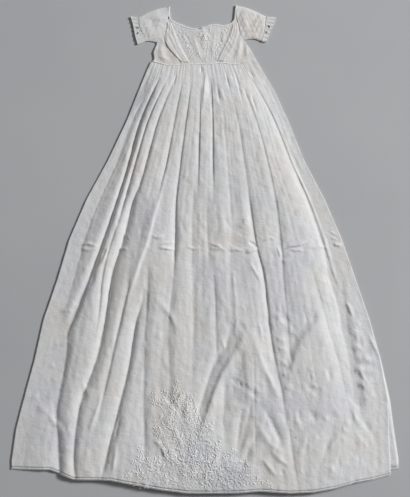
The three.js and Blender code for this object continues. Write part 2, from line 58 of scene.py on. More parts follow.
# Table and light
# A plain pale table top, painted matt. One strong soft lamp stands low on the right, so that the side
# of each fold that faces left is in shade. Two weak lamps, on the left and above, and a pale room fill it.
floor_size = 9.0
floor_level = -0.0003
floor_pale, floor_dark = "#C8C9CB", "#BABBBE"
floor_mottle_mm = 1000 / 3  # the paint's faint patches
floor_roughness = 0.8
lamps = {
    "right": {"at": (6.6, 3.0, 4.6), "size": 1.6, "watts": 690.0},
    "left": {"at": (-3.0, 0.6, 1.7), "size": 0.9, "watts": 5.0},
    "above": {"at": (0.0, 0.2, 3.4), "size": 2.6, "watts": 4.0},
}
room_light, room_colour = 0.1, "#F4F5F8"


def linear(colour):
    """Linear RGBA of an sRGB hex colour: each channel c becomes ((c + 0.055) / 1.055) ** 2.4, or
    c / 12.92 where it is near black."""
    channels = [int(colour[i:i + 2], 16) / 255 for i in (1, 3, 5)]
    return (*[c / 12.92 if c <= 0.04045 else ((c + 0.055) / 1.055) ** 2.4 for c in channels], 1.0)


def add(tree, kind, values=None, links=None, **settings):
    """Adds a node: settings are its properties, values its sockets' numbers, links their sources."""
    made = tree.nodes.new(kind)
    for name, value in settings.items():
        setattr(made, name, value)
    for name, value in (values or {}).items():
        made.inputs[name].default_value = value
    for name, source in (links or {}).items():
        tree.links.new(source, made.inputs[name])
    return made


def new_material(name):
    """A material without nodes, and its node tree."""
    material = bpy.data.materials.new(name)
    material.use_nodes = True
    material.node_tree.nodes.clear()
    return material, material.node_tree


painted_board, tree = new_material("painted_board")
place = add(tree, "ShaderNodeTexCoord")
patches = {"Scale": 1 / (floor_mottle_mm * MM), "Detail": 3.0}
mottle = add(tree, "ShaderNodeTexNoise", patches, {"Vector": place.outputs["Object"]})
tint = add(tree, "ShaderNodeValToRGB", links={"Fac": mottle.outputs["Fac"]})
tint.color_ramp.elements[0].color = linear(floor_dark)
tint.color_ramp.elements[1].color = linear(floor_pale)
matt = {"Roughness": floor_roughness}
paint = add(tree, "ShaderNodeBsdfPrincipled", matt, {"Base Color": tint.outputs["Color"]})
add(tree, "ShaderNodeOutputMaterial", links={"Surface": paint.outputs["BSDF"]})

floor_mesh = bpy.data.meshes.new("table_top")
half = floor_size / 2
corners = [(-half, -half), (half, -half), (half, half), (-half, half)]
floor_mesh.from_pydata([(x, y, floor_level) for x, y in corners], [], [(0, 1, 2, 3)])
floor_mesh.materials.append(painted_board)
table_top = bpy.data.objects.new("table_top", floor_mesh)
bpy.context.scene.collection.objects.link(table_top)

for name, lamp in lamps.items():
    light = bpy.data.lights.new(name, "AREA")
    light.energy = lamp["watts"]
    light.size = lamp["size"]
    holder = bpy.data.objects.new(name, light)
    holder.location = lamp["at"]
    holder.rotation_euler = (-Vector(lamp["at"])).to_track_quat("-Z", "Y").to_euler()
    bpy.context.scene.collection.objects.link(holder)
world = bpy.data.worlds.new("room")
world.use_nodes = True
world.node_tree.nodes["Background"].inputs["Strength"].default_value = room_light
world.node_tree.nodes["Background"].inputs["Color"].default_value = linear(room_colour)
bpy.context.scene.world = world

# Skirt front
# The front of the skirt is a wide width of fine cotton lawn, gathered into the waist and spread to
# the hem, where its right edge is folded under. Long pressed folds run down it. Sizes are in mm:
# across is from the middle line, down is below the top of the shoulders.
gown_length = 1029
cloth = 0.8  # one layer of lawn with its nap
seam_gap = 0.3  # between two pieces where they meet
front_level = 2.6  # upper face of the front where it lies on the back
piping_width = 3.2
tucked_under = 0.6  # how far an edge goes under the piping or the casing
edging_width = 5.0
swell_height = 10.8  # how far the cloth stands off between two folds
swell_start = 70  # how far below the waist it takes to get there
edge_taper = 62  # and in from the side edges: 2 to 2.5 times this at a spread of 1
full_width = 800  # where the skirt is this wide its spread is 1
slot_left, slot_right = 4.0, 1.0  # how wide the slot of a fold is on each side of its middle
crest_from, crest_ease = 12.5, 3.0  # crests higher than the first rise at most by the second more
gather_count = 24
gather_height = 0.55
fine_gather_count = 61
fine_gather_height = 0.32
gather_reach = 85  # about how far below the waist the gathers run
front_columns, front_rows = 351, 217
under_step = 2  # the hidden underside has every second row and column

skirt_depths = [112, 138, 180, 243, 327, 411, 495, 579, 663, 747, 831, 893, 957, 1029]
skirt_left = [-110, -122, -139, -164, -204, -250, -286, -311, -340, -359, -382, -398, -407, -407]
skirt_right = {
    "front": [105, 120, 145, 174, 208, 252, 288, 317, 346, 369, 385, 386, 389, 391],
    "back": [105, 120, 145, 174, 208, 252, 288, 317, 346, 370, 389, 397, 407, 407],
}
hem_across = [-407, -325, -300, -275, -200, -124, -99, -68, -36, 65, 116, 178, 229, 279, 317, 355, 391, 407]
hem_down = {
    "front": [
        977, 978, 988, 998, 999, 1013, 1018, 1022, 1026, 1026, 1022, 1026, 1024, 1015, 1005, 999, 990, 978,
    ],
    "back": [
        976, 977, 987, 997, 998, 1014, 1022, 1027, 1029, 1025, 1021, 1025, 1023, 1014, 1004, 996, 979, 977,
    ],
}
waist_across = [-110, -94, -76, -54, -10, 10, 25, 40, 62, 76, 93, 105]
waist_down = {
    "front": [119, 123, 127.5, 126.5, 125, 125.5, 122.5, 122.5, 125, 122.5, 117, 112],
    "back": [119, 121.5, 123, 124.5, 125.5, 125, 124.5, 123.5, 121.5, 119.5, 116, 112],
}

# Long folds: how deep the trough is, its width on the left and on the right, how
# deep the slot along its middle is, and its places (across, down).
long_folds = [
    (6.8, 9, 36, 1.8, [
        (-128, 200), (-152, 240), (-188, 330), (-232, 410), (-271, 500), (-298, 590), (-327, 665),
        (-353, 740), (-361, 850),
    ]),
    (8.6, 14, 9, 2.8, [
        (-93, 150), (-133, 240), (-158, 330), (-183, 410), (-214, 500), (-244, 580), (-266, 635),
        (-293, 700),
    ]),
    (8.2, 26, 15, 0.6, [(-290, 680), (-298, 770), (-312, 850), (-308, 920), (-304, 1020)]),
    (6.5, 8, 8, 1.8, [(-76, 150), (-118, 240), (-142, 320), (-168, 410), (-182, 455)]),
    (1.4, 6, 6, 1.6, [(-176, 440), (-197, 500), (-213, 560), (-225, 668), (-232, 705)]),
    (6.0, 14, 9, 1.8, [(-60, 150), (-97, 240), (-122, 330), (-138, 385)]),
    (9.3, 16, 17, 3.0, [
        (-135, 375), (-149, 410), (-172, 500), (-192, 560), (-206, 646), (-224, 734), (-248, 801),
        (-264, 845),
    ]),
    (6.5, 14, 12, 1.4, [(-258, 815), (-272, 900), (-275, 960), (-270, 1010)]),
    (2.6, 16, 8, 1.8, [(-44, 150), (-63, 240), (-80, 330), (-97, 398)]),
    (3.0, 12, 5, 1.4, [(-158, 585), (-183, 690), (-206, 790), (-222, 860)]),
    (7.0, 18, 10, 2.4, [(-130, 620), (-143, 664), (-161, 770), (-179, 841), (-197, 912), (-219, 1000)]),
    (4.4, 24, 12, 0.2, [(-119, 560), (-122, 640), (-126, 700), (-128, 770), (-128, 860), (-126, 960)]),
    (3.2, 18, 10, 1.8, [(-27, 150), (-39, 240), (-51, 330), (-60, 410), (-62, 500), (-66, 570)]),
    (2.6, 20, 14, 0.0, [(-66, 560), (-77, 680), (-76, 726), (-72, 850)]),
    (1.2, 9, 9, 2.6, [(-9, 180), (-11, 240), (-13, 330), (-15, 385)]),
    (3.2, 20, 26, 0.0, [(-22, 370), (-27, 450), (-26, 590), (-25, 680), (-29, 790)]),
    (1.2, 9, 8, 2.6, [(12, 150), (16, 240), (17, 330), (18, 385)]),
    (1.6, 12, 16, 0.0, [(0, 400), (3, 450), (6, 500), (9, 565)]),
    (2.4, 12, 12, 0.8, [(19, 570), (22, 640), (24, 700), (26, 770)]),
    (2.0, 22, 24, 0.0, [(36, 210), (38, 240), (47, 330), (53, 410), (54, 500), (53, 600)]),
    (5.2, 12, 13, 1.0, [(52, 684), (45, 715), (24, 746), (10, 778), (1, 809), (-12, 851), (-20, 892)]),
    (1.6, 20, 14, 0.5, [(44, 150), (68, 240), (82, 330), (94, 410), (105, 470)]),
    (1.8, 22, 10, 2.2, [
        (92, 405), (109, 510), (124, 570), (130, 626), (138, 694), (150, 762), (161, 812),
        (170, 875),
    ]),
    (0.8, 12, 12, 1.6, [(172, 860), (184, 944), (196, 1015)]),
    (2.0, 30, 28, 1.2, [
        (70, 150), (106, 240), (131, 330), (148, 410), (159, 500), (166, 590), (174, 680),
        (180, 750),
    ]),
    (1.5, 30, 18, 2.0, [
        (96, 150), (144, 240), (180, 330), (216, 410), (248, 500), (270, 580), (284, 620),
        (299, 694), (309, 749), (322, 830), (331, 880),
    ]),
    (4.0, 28, 14, 1.6, [(256, 560), (284, 620), (294, 672), (301, 705), (308, 740), (318, 790), (328, 850)]),
    (1.5, 26, 16, 2.0, [(183, 310), (192, 330), (230, 410), (266, 500), (292, 600)]),
    (2.0, 20, 16, 0.4, [(224, 560), (237, 600), (259, 680), (285, 770), (304, 860)]),
    (3.6, 18, 22, 0.0, [(40, 780), (40, 812), (40, 870), (41, 935)]),
    (3.8, 16, 22, 0.0, [(104, 800), (98, 835), (82, 900), (66, 970)]),
    (2.8, 18, 16, 0.0, [(276, 860), (262, 910), (236, 980)]),
    (0.8, 8, 10, 1.8, [(125, 146), (166, 227), (199, 308), (222, 360)]),
    (3.4, 6, 16, 1.0, [(368, 830), (382, 880), (390, 950)]),
]

# Shorter creases: how far they rise, or sink where negative, their two widths, and their places.
skirt_creases = [
    (-2.5, 2.5, 3, [(-113, 134), (-124, 158), (-133, 180)]),
    (-2.2, 2.5, 3, [(-60, 146), (-67, 172)]),
    (-3.0, 2, 2.5, [(-8, 129), (-8, 146)]),
    (2.6, 2.5, 4, [(0, 132), (1, 148), (-2.5, 189), (-4, 222)]),
    (-4.0, 5, 8, [(8, 150), (9, 176), (8, 202)]),
    (-2.8, 2, 3, [(24, 168), (31, 211)]),
    (-3.0, 2, 3, [(43, 136), (48, 165), (53, 180)]),
    (-2.2, 2, 3, [(62, 135), (71, 178), (80, 212)]),
    (-3.2, 2, 4, [(96, 188), (110, 230)]),
    (-2.2, 2, 3, [(90, 137), (104, 156)]),
    (2.2, 4, 4, [(6, 212), (22, 204), (36, 209)]),
    (1.6, 3, 3, [(8, 232), (20, 224)]),
    (1.8, 2, 4, [(18, 243), (34, 238), (38, 250)]),
    (4.2, 11, 3.5, [(-86, 372), (-98, 415), (-107, 442), (-120, 494), (-139, 547), (-156, 600), (-164, 632)]),
    (-3.0, 3, 5, [(-242, 450), (-255, 474), (-272, 520)]),
    (2.2, 2, 3, [(-264, 507), (-246, 502), (-222, 509)]),
    (2.0, 2, 3, [(-264, 511), (-246, 516), (-222, 512)]),
    (3.2, 3, 4, [(-200, 506), (-208, 521), (-212, 536), (-221, 547)]),
    (-2.0, 3, 3, [(-206, 514), (-214, 530)]),
    (1.8, 2, 2.5, [(-181, 512), (-161, 513)]),
    (2.6, 2, 3, [(-97, 510), (-78, 513), (-61, 515)]),
    (1.4, 2, 2, [(-97, 504), (-60, 498)]),
    (1.6, 2.5, 3, [(-257, 557), (-244, 554)]),
    (-1.5, 3, 4, [(-228, 560), (-246, 600)]),
    (3.4, 2, 3, [(164, 514), (178, 508), (196, 505), (216, 496)]),
    (1.8, 2, 2.5, [(176, 515), (207, 517)]),
    (2.6, 2.5, 4, [(84, 521), (96, 518), (112, 512)]),
    (-2.2, 2.5, 2.5, [(91, 498), (107, 507)]),
    (2.2, 3, 4, [(78, 458), (95, 450)]),
    (1.4, 3, 4, [(70, 468), (84, 462), (96, 464)]),
    (1.6, 2, 2, [(65, 328), (75, 328)]),
    (1.2, 3, 4, [(150, 534), (166, 539), (182, 536)]),
    (2.6, 3, 4, [(268, 503), (289, 507)]),
    (1.2, 2, 2, [(263, 478), (277, 483)]),
    (1.2, 2, 2, [(264, 490), (280, 494)]),
    (1.6, 2.5, 3.5, [(92, 540), (119, 585)]),
    (1.4, 2.5, 3, [(4, 500), (26, 506), (45, 519)]),
    (1.8, 2.5, 3, [(48, 517), (62, 514), (80, 516)]),
    (1.2, 2.5, 3, [(8, 512), (36, 514)]),
    (1.0, 4, 6, [(59, 568), (65, 640), (67, 700)]),
    (1.8, 3, 6, [(-12, 782), (-40, 806), (-63, 833), (-82, 850)]),
    (-1.3, 5, 7, [(-104, 800), (-63, 845), (-40, 880)]),
    (2.0, 3, 6, [(-107, 614), (-73, 652), (-56, 684)]),
    (-2.4, 2, 2.5, [(46, 776), (62, 790), (90, 806), (122, 832)]),
    (1.7, 3, 4, [(-308, 644), (-276, 643)]),
    (4.6, 6, 44, [(254, 640), (236, 664), (213, 692), (196, 722), (184, 757), (176, 800)]),
    (4.0, 4, 12, [(92, 676), (67, 722), (34, 778), (21, 809), (7, 851), (-12, 905)]),
    (2.4, 8, 5, [(94, 676), (107, 715), (118, 750), (134, 782), (148, 812), (160, 846)]),
    (1.9, 8, 5, [(105, 872), (134, 918), (168, 948)]),
    (-1.0, 2, 3, [(101, 694), (103, 812), (105, 960)]),
    (-2.2, 5, 8, [(122, 846), (146, 890), (161, 930)]),
    (-2.2, 6, 6, [(81, 828), (63, 950)]),
    (-2.4, 5, 8, [(112, 880), (73, 980)]),
    (-1.4, 6, 6, [(138, 874), (165, 928)]),
    (2.0, 3, 4, [(296, 622), (312, 660)]),
    (1.8, 3, 4, [(314, 702), (332, 690)]),
    (1.8, 3, 4, [(318, 760), (346, 804)]),
    (1.6, 3, 4, [(330, 742), (352, 748)]),
    (-1.8, 4, 4, [(300, 820), (330, 850)]),
    (1.6, 4, 4, [(-356, 838), (-330, 858)]),
    (1.5, 4, 5, [(-262, 790), (-236, 830)]),
    (1.5, 4, 5, [(-90, 900), (-64, 960)]),
    (3.2, 10, 38, [(74, 670), (86, 730), (92, 790), (90, 860)]),
    (2.4, 3, 4, [(140, 650), (160, 656)]),
    (2.0, 3, 4, [(146, 672), (166, 664)]),
    (2.6, 3, 4, [(148, 700), (170, 708)]),
    (2.2, 3, 4, [(152, 724), (172, 722)]),
    (2.4, 3, 4, [(156, 748), (176, 758)]),
    (2.8, 3, 4, [(160, 776), (182, 774)]),
    (2.4, 3, 4, [(164, 800), (186, 806)]),
    (2.6, 3, 4, [(300, 690), (324, 684)]),
    (2.2, 3, 4, [(306, 716), (330, 722)]),
    (2.6, 3, 4, [(312, 770), (334, 764)]),
    (2.2, 3, 4, [(318, 796), (344, 804)]),
    (-2.2, 3, 6, [(210, 800), (232, 812), (246, 806)]),
    (-2.4, 3, 6, [(216, 866), (236, 872)]),
    (-1.8, 4, 6, [(256, 760), (262, 790)]),
    (2.2, 3, 4, [(-290, 634), (-262, 632)]),
    (2.2, 3, 5, [(-320, 716), (-296, 712), (-284, 704)]),
    (-2.0, 4, 6, [(-306, 880), (-288, 890)]),
    (1.8, 3, 4, [(-330, 866), (-312, 872)]),
    (2.2, 4, 5, [(-214, 806), (-226, 850), (-244, 900)]),
    (2.0, 3, 4, [(-186, 930), (-194, 985)]),
    (-2.2, 3, 4, [(-176, 860), (-192, 920)]),
    (2.0, 3, 4, [(-116, 905), (-92, 925), (-76, 960)]),
    (1.8, 3, 4, [(-66, 890), (-46, 930)]),
    (2.2, 4, 5, [(118, 950), (150, 990)]),
    (2.0, 4, 5, [(210, 930), (240, 905)]),
    (-2.0, 5, 6, [(330, 870), (350, 900)]),
    (1.6, 2, 3, [(120, 498), (134, 490), (146, 492)]),
    (1.8, 2, 3, [(150, 508), (156, 520), (158, 534)]),
    (1.6, 2, 3, [(-40, 508), (-22, 514), (-8, 510)]),
    (1.4, 2, 3, [(216, 512), (240, 508), (262, 512)]),
    (1.6, 3, 3, [(-112, 484), (-100, 490), (-88, 486)]),
    (2.0, 4, 3, [(136, 933), (156, 952), (177, 969)]),
    (1.8, 3, 4, [(109, 883), (98, 914), (82, 942)]),
    (1.6, 4, 4, [(96, 900), (80, 930), (66, 948)]),
    (1.6, 4, 5, [(286, 892), (272, 914), (254, 937)]),
    (-1.6, 3, 3, [(214, 851), (230, 862), (246, 861)]),
    (1.4, 3, 3, [(216, 796), (228, 800), (236, 796)]),
    (1.4, 5, 5, [(214, 898), (206, 930), (190, 955)]),
    (1.8, 4, 3, [(308, 850), (318, 872), (330, 886)]),
    (2.2, 4, 4, [(300, 683), (314, 672), (328, 671)]),
    (2.0, 4, 4, [(309, 729), (322, 722), (336, 723)]),
    (2.0, 3, 4, [(319, 751), (335, 745), (351, 747)]),
    (2.2, 4, 4, [(323, 765), (340, 770), (355, 763)]),
    (2.2, 4, 4, [(319, 797), (338, 796), (355, 783)]),
    (2.0, 4, 4, [(328, 833), (342, 828), (355, 814)]),
    (1.8, 3, 4, [(344, 690), (352, 712), (362, 736)]),
    (2.0, 4, 3, [(-306, 648), (-290, 640), (-276, 642)]),
    (1.8, 3, 3, [(-368, 829), (-358, 824), (-348, 827)]),
    (1.8, 4, 4, [(-327, 866), (-316, 880), (-302, 890)]),
]

# Worn crinkles: how many, their depths, their places as shares of the width, and how much higher and
# wider they are than the common run. The second set lies over the lower right.
crinkle_sets = [
    (420, (150, 1005), (-0.47, 0.47), 1.0, 1.0),
    (170, (620, 990), (0.02, 0.47), 1.7, 0.8),
]
crinkle_seed = 41


def smooth_step(value, low, high):
    """0 below low, 1 above high, and 3t^2 - 2t^3 of the share t between them."""
    t = np.clip((value - low) / (high - low), 0, 1)
    return t * t * (3 - 2 * t)


def smooth_through(rows, values, at):
    """A smooth curve through the values at the rows, each row's slope that between its neighbours."""
    rows, values = np.asarray(rows, float), np.asarray(values, float)
    after = np.minimum(np.arange(len(rows)) + 1, len(rows) - 1)
    before = np.maximum(np.arange(len(rows)) - 1, 0)
    slopes = (values[after] - values[before]) / (rows[after] - rows[before])
    i = np.clip(np.searchsorted(rows, at) - 1, 0, len(rows) - 2)
    span = rows[i + 1] - rows[i]
    t = np.clip((at - rows[i]) / span, 0, 1)
    bend = span * (slopes[i] * t * (1 - t) ** 2 - slopes[i + 1] * t * t * (1 - t))
    return values[i] + (values[i + 1] - values[i]) * t * t * (3 - 2 * t) + bend


def waist_at(side, across):
    """Depth of the waist seam of the front or the back at a place across."""
    return smooth_through(waist_across, waist_down[side], across)


def skirt_place(side, u, v):
    """Plan place on the skirt: u runs straight between its side edges, v from waist seam to edging.
    The seam's depth depends on the place across and that on the depth, so it takes a few turns."""
    def across_at(down):
        left = np.interp(down, skirt_depths, skirt_left)
        return left + (np.interp(down, skirt_depths, skirt_right[side]) - left) * u

    start = np.full_like(u, waist_down[side][0])
    for turn in range(6):
        start = waist_at(side, across_at(start)) + piping_width / 2 - tucked_under
    end = np.interp(across_at(gown_length), hem_across, hem_down[side]) - edging_width - seam_gap
    down = start + (end - start) * v
    return across_at(down), down


def crease_height(across, down, rise, left_width, right_width, places, sharpness=2.0):
    """A crease along straight runs between its places: rise * exp(-(distance / width) ** sharpness),
    with its own width on each side, and fading out over a third of its length at both ends."""
    places = np.asarray(places, float)
    lengths = np.hypot(*np.diff(places, axis=0).T)
    starts = np.concatenate([[0], np.cumsum(lengths)])
    nearest = np.full(np.shape(across), np.inf)
    side = np.zeros(np.shape(across))
    share = np.zeros(np.shape(across))
    for (x, y), (dx, dy), length, start in zip(places, np.diff(places, axis=0), lengths, starts):
        t = np.clip(((across - x) * dx + (down - y) * dy) / length**2, 0, 1)
        out_x, out_y = across - x - t * dx, down - y - t * dy
        distance = np.hypot(out_x, out_y)
        closer = distance < nearest
        nearest = np.where(closer, distance, nearest)
        side = np.where(closer, out_x * dy - out_y * dx, side)
        share = np.where(closer, (start + t * length) / starts[-1], share)
    width = np.where(side > 0, right_width, left_width)
    fade = smooth_step(share, -0.04, 0.35) * (1 - smooth_step(share, 0.65, 1.04))
    return rise * fade * np.exp(-((nearest / width) ** sharpness))


def waves(across, down, seed, longest, count=9):
    """Gentle unevenness of about -1 to 1: a sum of sine waves in random directions, each shorter and
    lower than the one before."""
    draw = np.random.default_rng(seed)
    total = 0
    for k in range(count):
        length = longest * 0.78**k
        turn, phase = draw.uniform(0, np.pi), draw.uniform(0, 2 * np.pi)
        along = across * np.cos(turn) + down * np.sin(turn)
        total = total + np.sin(2 * np.pi * along / length + phase) * 0.8**k
    return total / 3.2


def swelled(across, down, left, right, spread, below):
    """The cloth between two folds: swell_height, falling to nothing at the waist and over a taper at
    each side edge, which is wider where the skirt is, and uneven by a tenth."""
    from_edge = np.minimum(across - left, right - across)
    left_taper, right_taper = 2.0 * np.maximum(spread, 0.4), 2.5 * np.maximum(spread, 0.55)
    taper = np.where(across < (left + right) / 2, left_taper, right_taper) * edge_taper
    height = swell_height * smooth_step(from_edge, -4, taper) * smooth_step(below, -10, swell_start)
    return height * (1 + 0.1 * waves(across, down * 0.3, 5, 120))


def folded(height, across, down, spread, below):
    """Sinks each long fold into the cloth: a trough of sink * exp(-(side / width) ** 1.2), and a slot
    of exp(-(side / width) ** 2) along its middle. Both start and end softly, wander a little from side
    to side, widen with the skirt, and are shallower near the waist."""
    grown = smooth_step(below, 0, swell_start)
    deep = 0.28 + 0.72 * smooth_step(below, 60, 360)
    for number, (sink, left_width, right_width, slot, places) in enumerate(long_folds):
        middle_across, depths = np.array(places, float).T
        wander = 0.5 * spread * waves(down, 0 * down, number, 120, 4)
        side = across - (smooth_through(depths, middle_across, down) + wander)
        ended = smooth_step(down, depths[-1] - 60, depths[-1] + 25)
        strength = smooth_step(down, depths[0] - 35, depths[0] + 60) * (1 - ended)
        strength = strength * (1 + 0.22 * waves(down, 0 * down, 60 + number, 240, 5))
        reach = np.where(side < 0, left_width, right_width) * np.maximum(spread, 0.35) * 0.8
        height = height - sink * deep * strength * grown * np.exp(-(np.abs(side / reach) ** 1.2))
        groove = np.exp(-((side / np.where(side < 0, slot_left, slot_right) / (1 + spread)) ** 2))
        fainter = 1 - 0.5 * smooth_step(down, 560, 950)
        height = height - slot * np.sqrt(deep) * strength * grown * groove * fainter
    return height


def crinkled(height, across, down):
    """Adds the worn crinkles: short creases with a little bow, which mostly run down the skirt. Their
    places, lengths, widths and heights are random."""
    draw = np.random.default_rng(crinkle_seed)
    skirt_width = np.subtract(skirt_right["front"], skirt_left)
    for count, depths, shares, higher, wider in crinkle_sets:
        for k in range(count):
            at_down = draw.uniform(*depths)
            at_across = draw.uniform(*shares) * np.interp(at_down, skirt_depths, skirt_width)
            turn, length = draw.normal(np.pi / 2, 0.8), draw.uniform(8, 40)
            rise, width = draw.uniform(-0.8, 1.0) * higher, draw.uniform(2.5, 7) * wider
            step = np.array([np.cos(turn), np.sin(turn)]) * length / 2
            bow = np.array([-step[1], step[0]]) * draw.uniform(-0.2, 0.2)
            middle = np.array([at_across, at_down])
            near = (np.abs(across - at_across) < length) & (np.abs(down - at_down) < length)
            places = [middle - step, middle + bow, middle + step]
            height[near] += crease_height(across[near], down[near], rise, width, width, places)
    return height


def gathered(height, u, below):
    """Adds the gathers under the waist seam at shares u of the width: a coarse row and a fine one, each
    0.5 - 0.5 * cos, uneven in pitch and height, and ending at uneven depths."""
    coarse_turn = gather_count * u + 0.35 * np.sin(9 * u) + 0.2 * np.sin(23 * u)
    fine_turn = fine_gather_count * u + 0.9 * np.sin(13 * u) + 0.5 * np.sin(31 * u)
    coarse = 0.5 - 0.5 * np.cos(2 * np.pi * coarse_turn)
    fine = 0.5 - 0.5 * np.cos(2 * np.pi * fine_turn)
    uneven = 0.6 + 0.4 * np.sin(2 * np.pi * 5.3 * u + 1)
    reach = gather_reach * (0.55 + 0.6 * np.sin(2 * np.pi * 3.1 * u) ** 2)
    pulled = gather_height * uneven * coarse * (1 - smooth_step(below, 0, reach))
    fine_pulled = fine_gather_height * fine * (1.3 - uneven) * (1 - smooth_step(below, 0, 1.3 * reach))
    return height + pulled + fine_pulled


def skirt_height(across, down):
    """Height of the front over the layer below: the swell, less the long folds, with the short creases,
    the crinkles, faint streaks along the cloth and the waist gathers added. What a crest has over
    crest_from is eased to crest_ease * tanh(over / crest_ease)."""
    left = np.interp(down, skirt_depths, skirt_left)
    right = np.interp(down, skirt_depths, skirt_right["front"])
    spread = (right - left) / full_width
    below = down - waist_at("front", across)
    height = swelled(across, down, left, right, spread, below)
    height = folded(height, across, down, spread, below)
    height = np.maximum(height, 0.15 + 0.15 * np.tanh(height))
    for rise, left_width, right_width, places in skirt_creases:
        stronger = 0.6 + 0.75 * smooth_step(places[0][1], 250, 420)
        crease = crease_height(across, down, rise, left_width, right_width, places, 1.5)
        height = height + stronger * crease
    height = crinkled(height, across, down)
    u = (across - left) / (right - left)
    streaks = 0.7 * waves(780 * u, 0.07 * down, 12, 62, 9) * np.sqrt(spread)
    height = height + (streaks + 0.45 * waves(across, down, 11, 40, 8)) * smooth_step(below, 10, 140)
    height = np.maximum(height, 0.05)
    over = np.maximum(height - crest_from, 0)
    height = height - over + crest_ease * np.tanh(over / crest_ease)
    return gathered(height, u, below)


def rows_closer(count, spots):
    """Shares from 0 to 1 that lie closer together round each spot (place, extra density, width)."""
    fine = np.linspace(0, 1, 2001)
    density = 1 + sum(extra * np.exp(-(((fine - spot) / width) ** 2)) for spot, extra, width in spots)
    total = np.concatenate([[0], np.cumsum((density[1:] + density[:-1]) / 2)])
    return np.interp(np.linspace(0, total[-1], count), total, fine)


def grid_faces(rows, columns, first=0):
    """Quads over a grid of points stored row by row, facing up where rows run down and columns right."""
    corner = (np.arange(rows - 1)[:, None] * columns + np.arange(columns - 1)).ravel() + first
    return np.stack([corner, corner + columns, corner + columns + 1, corner + 1], 1)


def rim_loop(rows, columns):
    """The grid's border points in order: down the left side, then right, up and back."""
    index = np.arange(rows * columns).reshape(rows, columns)
    return np.concatenate([index[:-1, 0], index[-1, :-1], index[:0:-1, -1], index[0, :0:-1]])


def thin_shell(upper, lower):
    """A closed shell from an upper and a lower grid of points (rows, columns, 3), joined round their
    rims. The lower grid may have every second row and column of the upper one only."""
    rows, columns = upper.shape[:2]
    low_rows, low_columns = lower.shape[:2]
    points = np.concatenate([upper.reshape(-1, 3), lower.reshape(-1, 3)])
    offset = rows * columns
    faces = grid_faces(rows, columns).tolist() + grid_faces(low_rows, low_columns, offset)[:, ::-1].tolist()
    high, low = rim_loop(rows, columns), rim_loop(low_rows, low_columns) + offset
    high_next, low_next = np.roll(high, -1), np.roll(low, -1)
    if len(high) == len(low):
        faces += np.stack([high, low, low_next, high_next], 1).tolist()
    else:
        first, middle, last = high[0::2], high[1::2], high_next[1::2]
        faces += np.stack([first, low, middle], 1).tolist()
        faces += np.stack([middle, low, low_next, last], 1).tolist()
    return points, faces


def make_piece(name, points, faces, material, nodes=(), slot="cotton_lawn", flat_uv=None):
    """A smooth mesh piece in the gown's frame from points in mm, none below the table. It rides on the
    gown and stands for the CAD nodes listed."""
    points = np.asarray(points, float)
    points[:, 2] = np.maximum(points[:, 2], 0)
    name = f"{name}_cloth" if nodes else name
    mesh = bpy.data.meshes.new(name)
    mesh.from_pydata((points * MM).tolist(), [], faces)
    mesh.materials.append(material)
    mesh.polygons.foreach_set("use_smooth", np.ones(len(mesh.polygons), bool))
    if flat_uv is not None:
        layer = mesh.uv_layers.new(name="cut")
        corner = np.empty(len(mesh.loops), np.int32)
        mesh.loops.foreach_get("vertex_index", corner)
        layer.data.foreach_set("uv", flat_uv[corner].astype(np.float32).ravel())
    mesh.update()
    piece = bpy.data.objects.new(name, mesh)
    bpy.context.scene.collection.objects.link(piece)
    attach(piece, "root")
    for node in nodes:
        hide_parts(node)
    return piece


def lay(across, down, z):
    """Points (..., 3) in mm of the gown's frame, +Y to the shoulders."""
    across, down, z = np.broadcast_arrays(across, down, z)
    return np.stack([across, gown_length / 2 - down, z], -1)


# Lawn: plain woven from fine cotton, washed soft and matt, with a slight nap. Threads are 0.3 mm
# apart, too fine for the view, so the slubs that show are drawn 2 mm wide and 60 mm long.
lawn_white, lawn_cool, lawn_warm = "#EAEAEA", "#E5E5E9", "#E9E6E2"
slub_width_mm, slub_length_mm = 2.0, 60.0
drift_mm = 125  # from one tint to the next
rumple_mm = 100 / 7  # soft crinkles of the bump
pucker_mm = 100 / 21  # between needlework stitches
ragged_mm = 6.25  # the edge of a stain
bump_mm = 1.3
worked_pucker = 2.0  # strength of the puckers in the bump, next to 1.2 for the soft crinkles

# Marks of age: place across and down, radius, colour and strength.
stains = [
    (-248, 985, 13, "#C9C7B8", 0.55),
    (-202, 961, 2.6, "#8E8A80", 0.8),
    (190, 908, 2.8, "#94908A", 0.8),
    (232, 860, 2.0, "#A09C95", 0.7),
    (227, 801, 1.8, "#A5A19A", 0.6),
    (150, 340, 16, "#E3D3C8", 0.35),
    (196, 436, 12, "#DECDC2", 0.35),
    (248, 560, 16, "#DFCFC6", 0.3),
    (28, 270, 11, "#E2D2C6", 0.35),
]


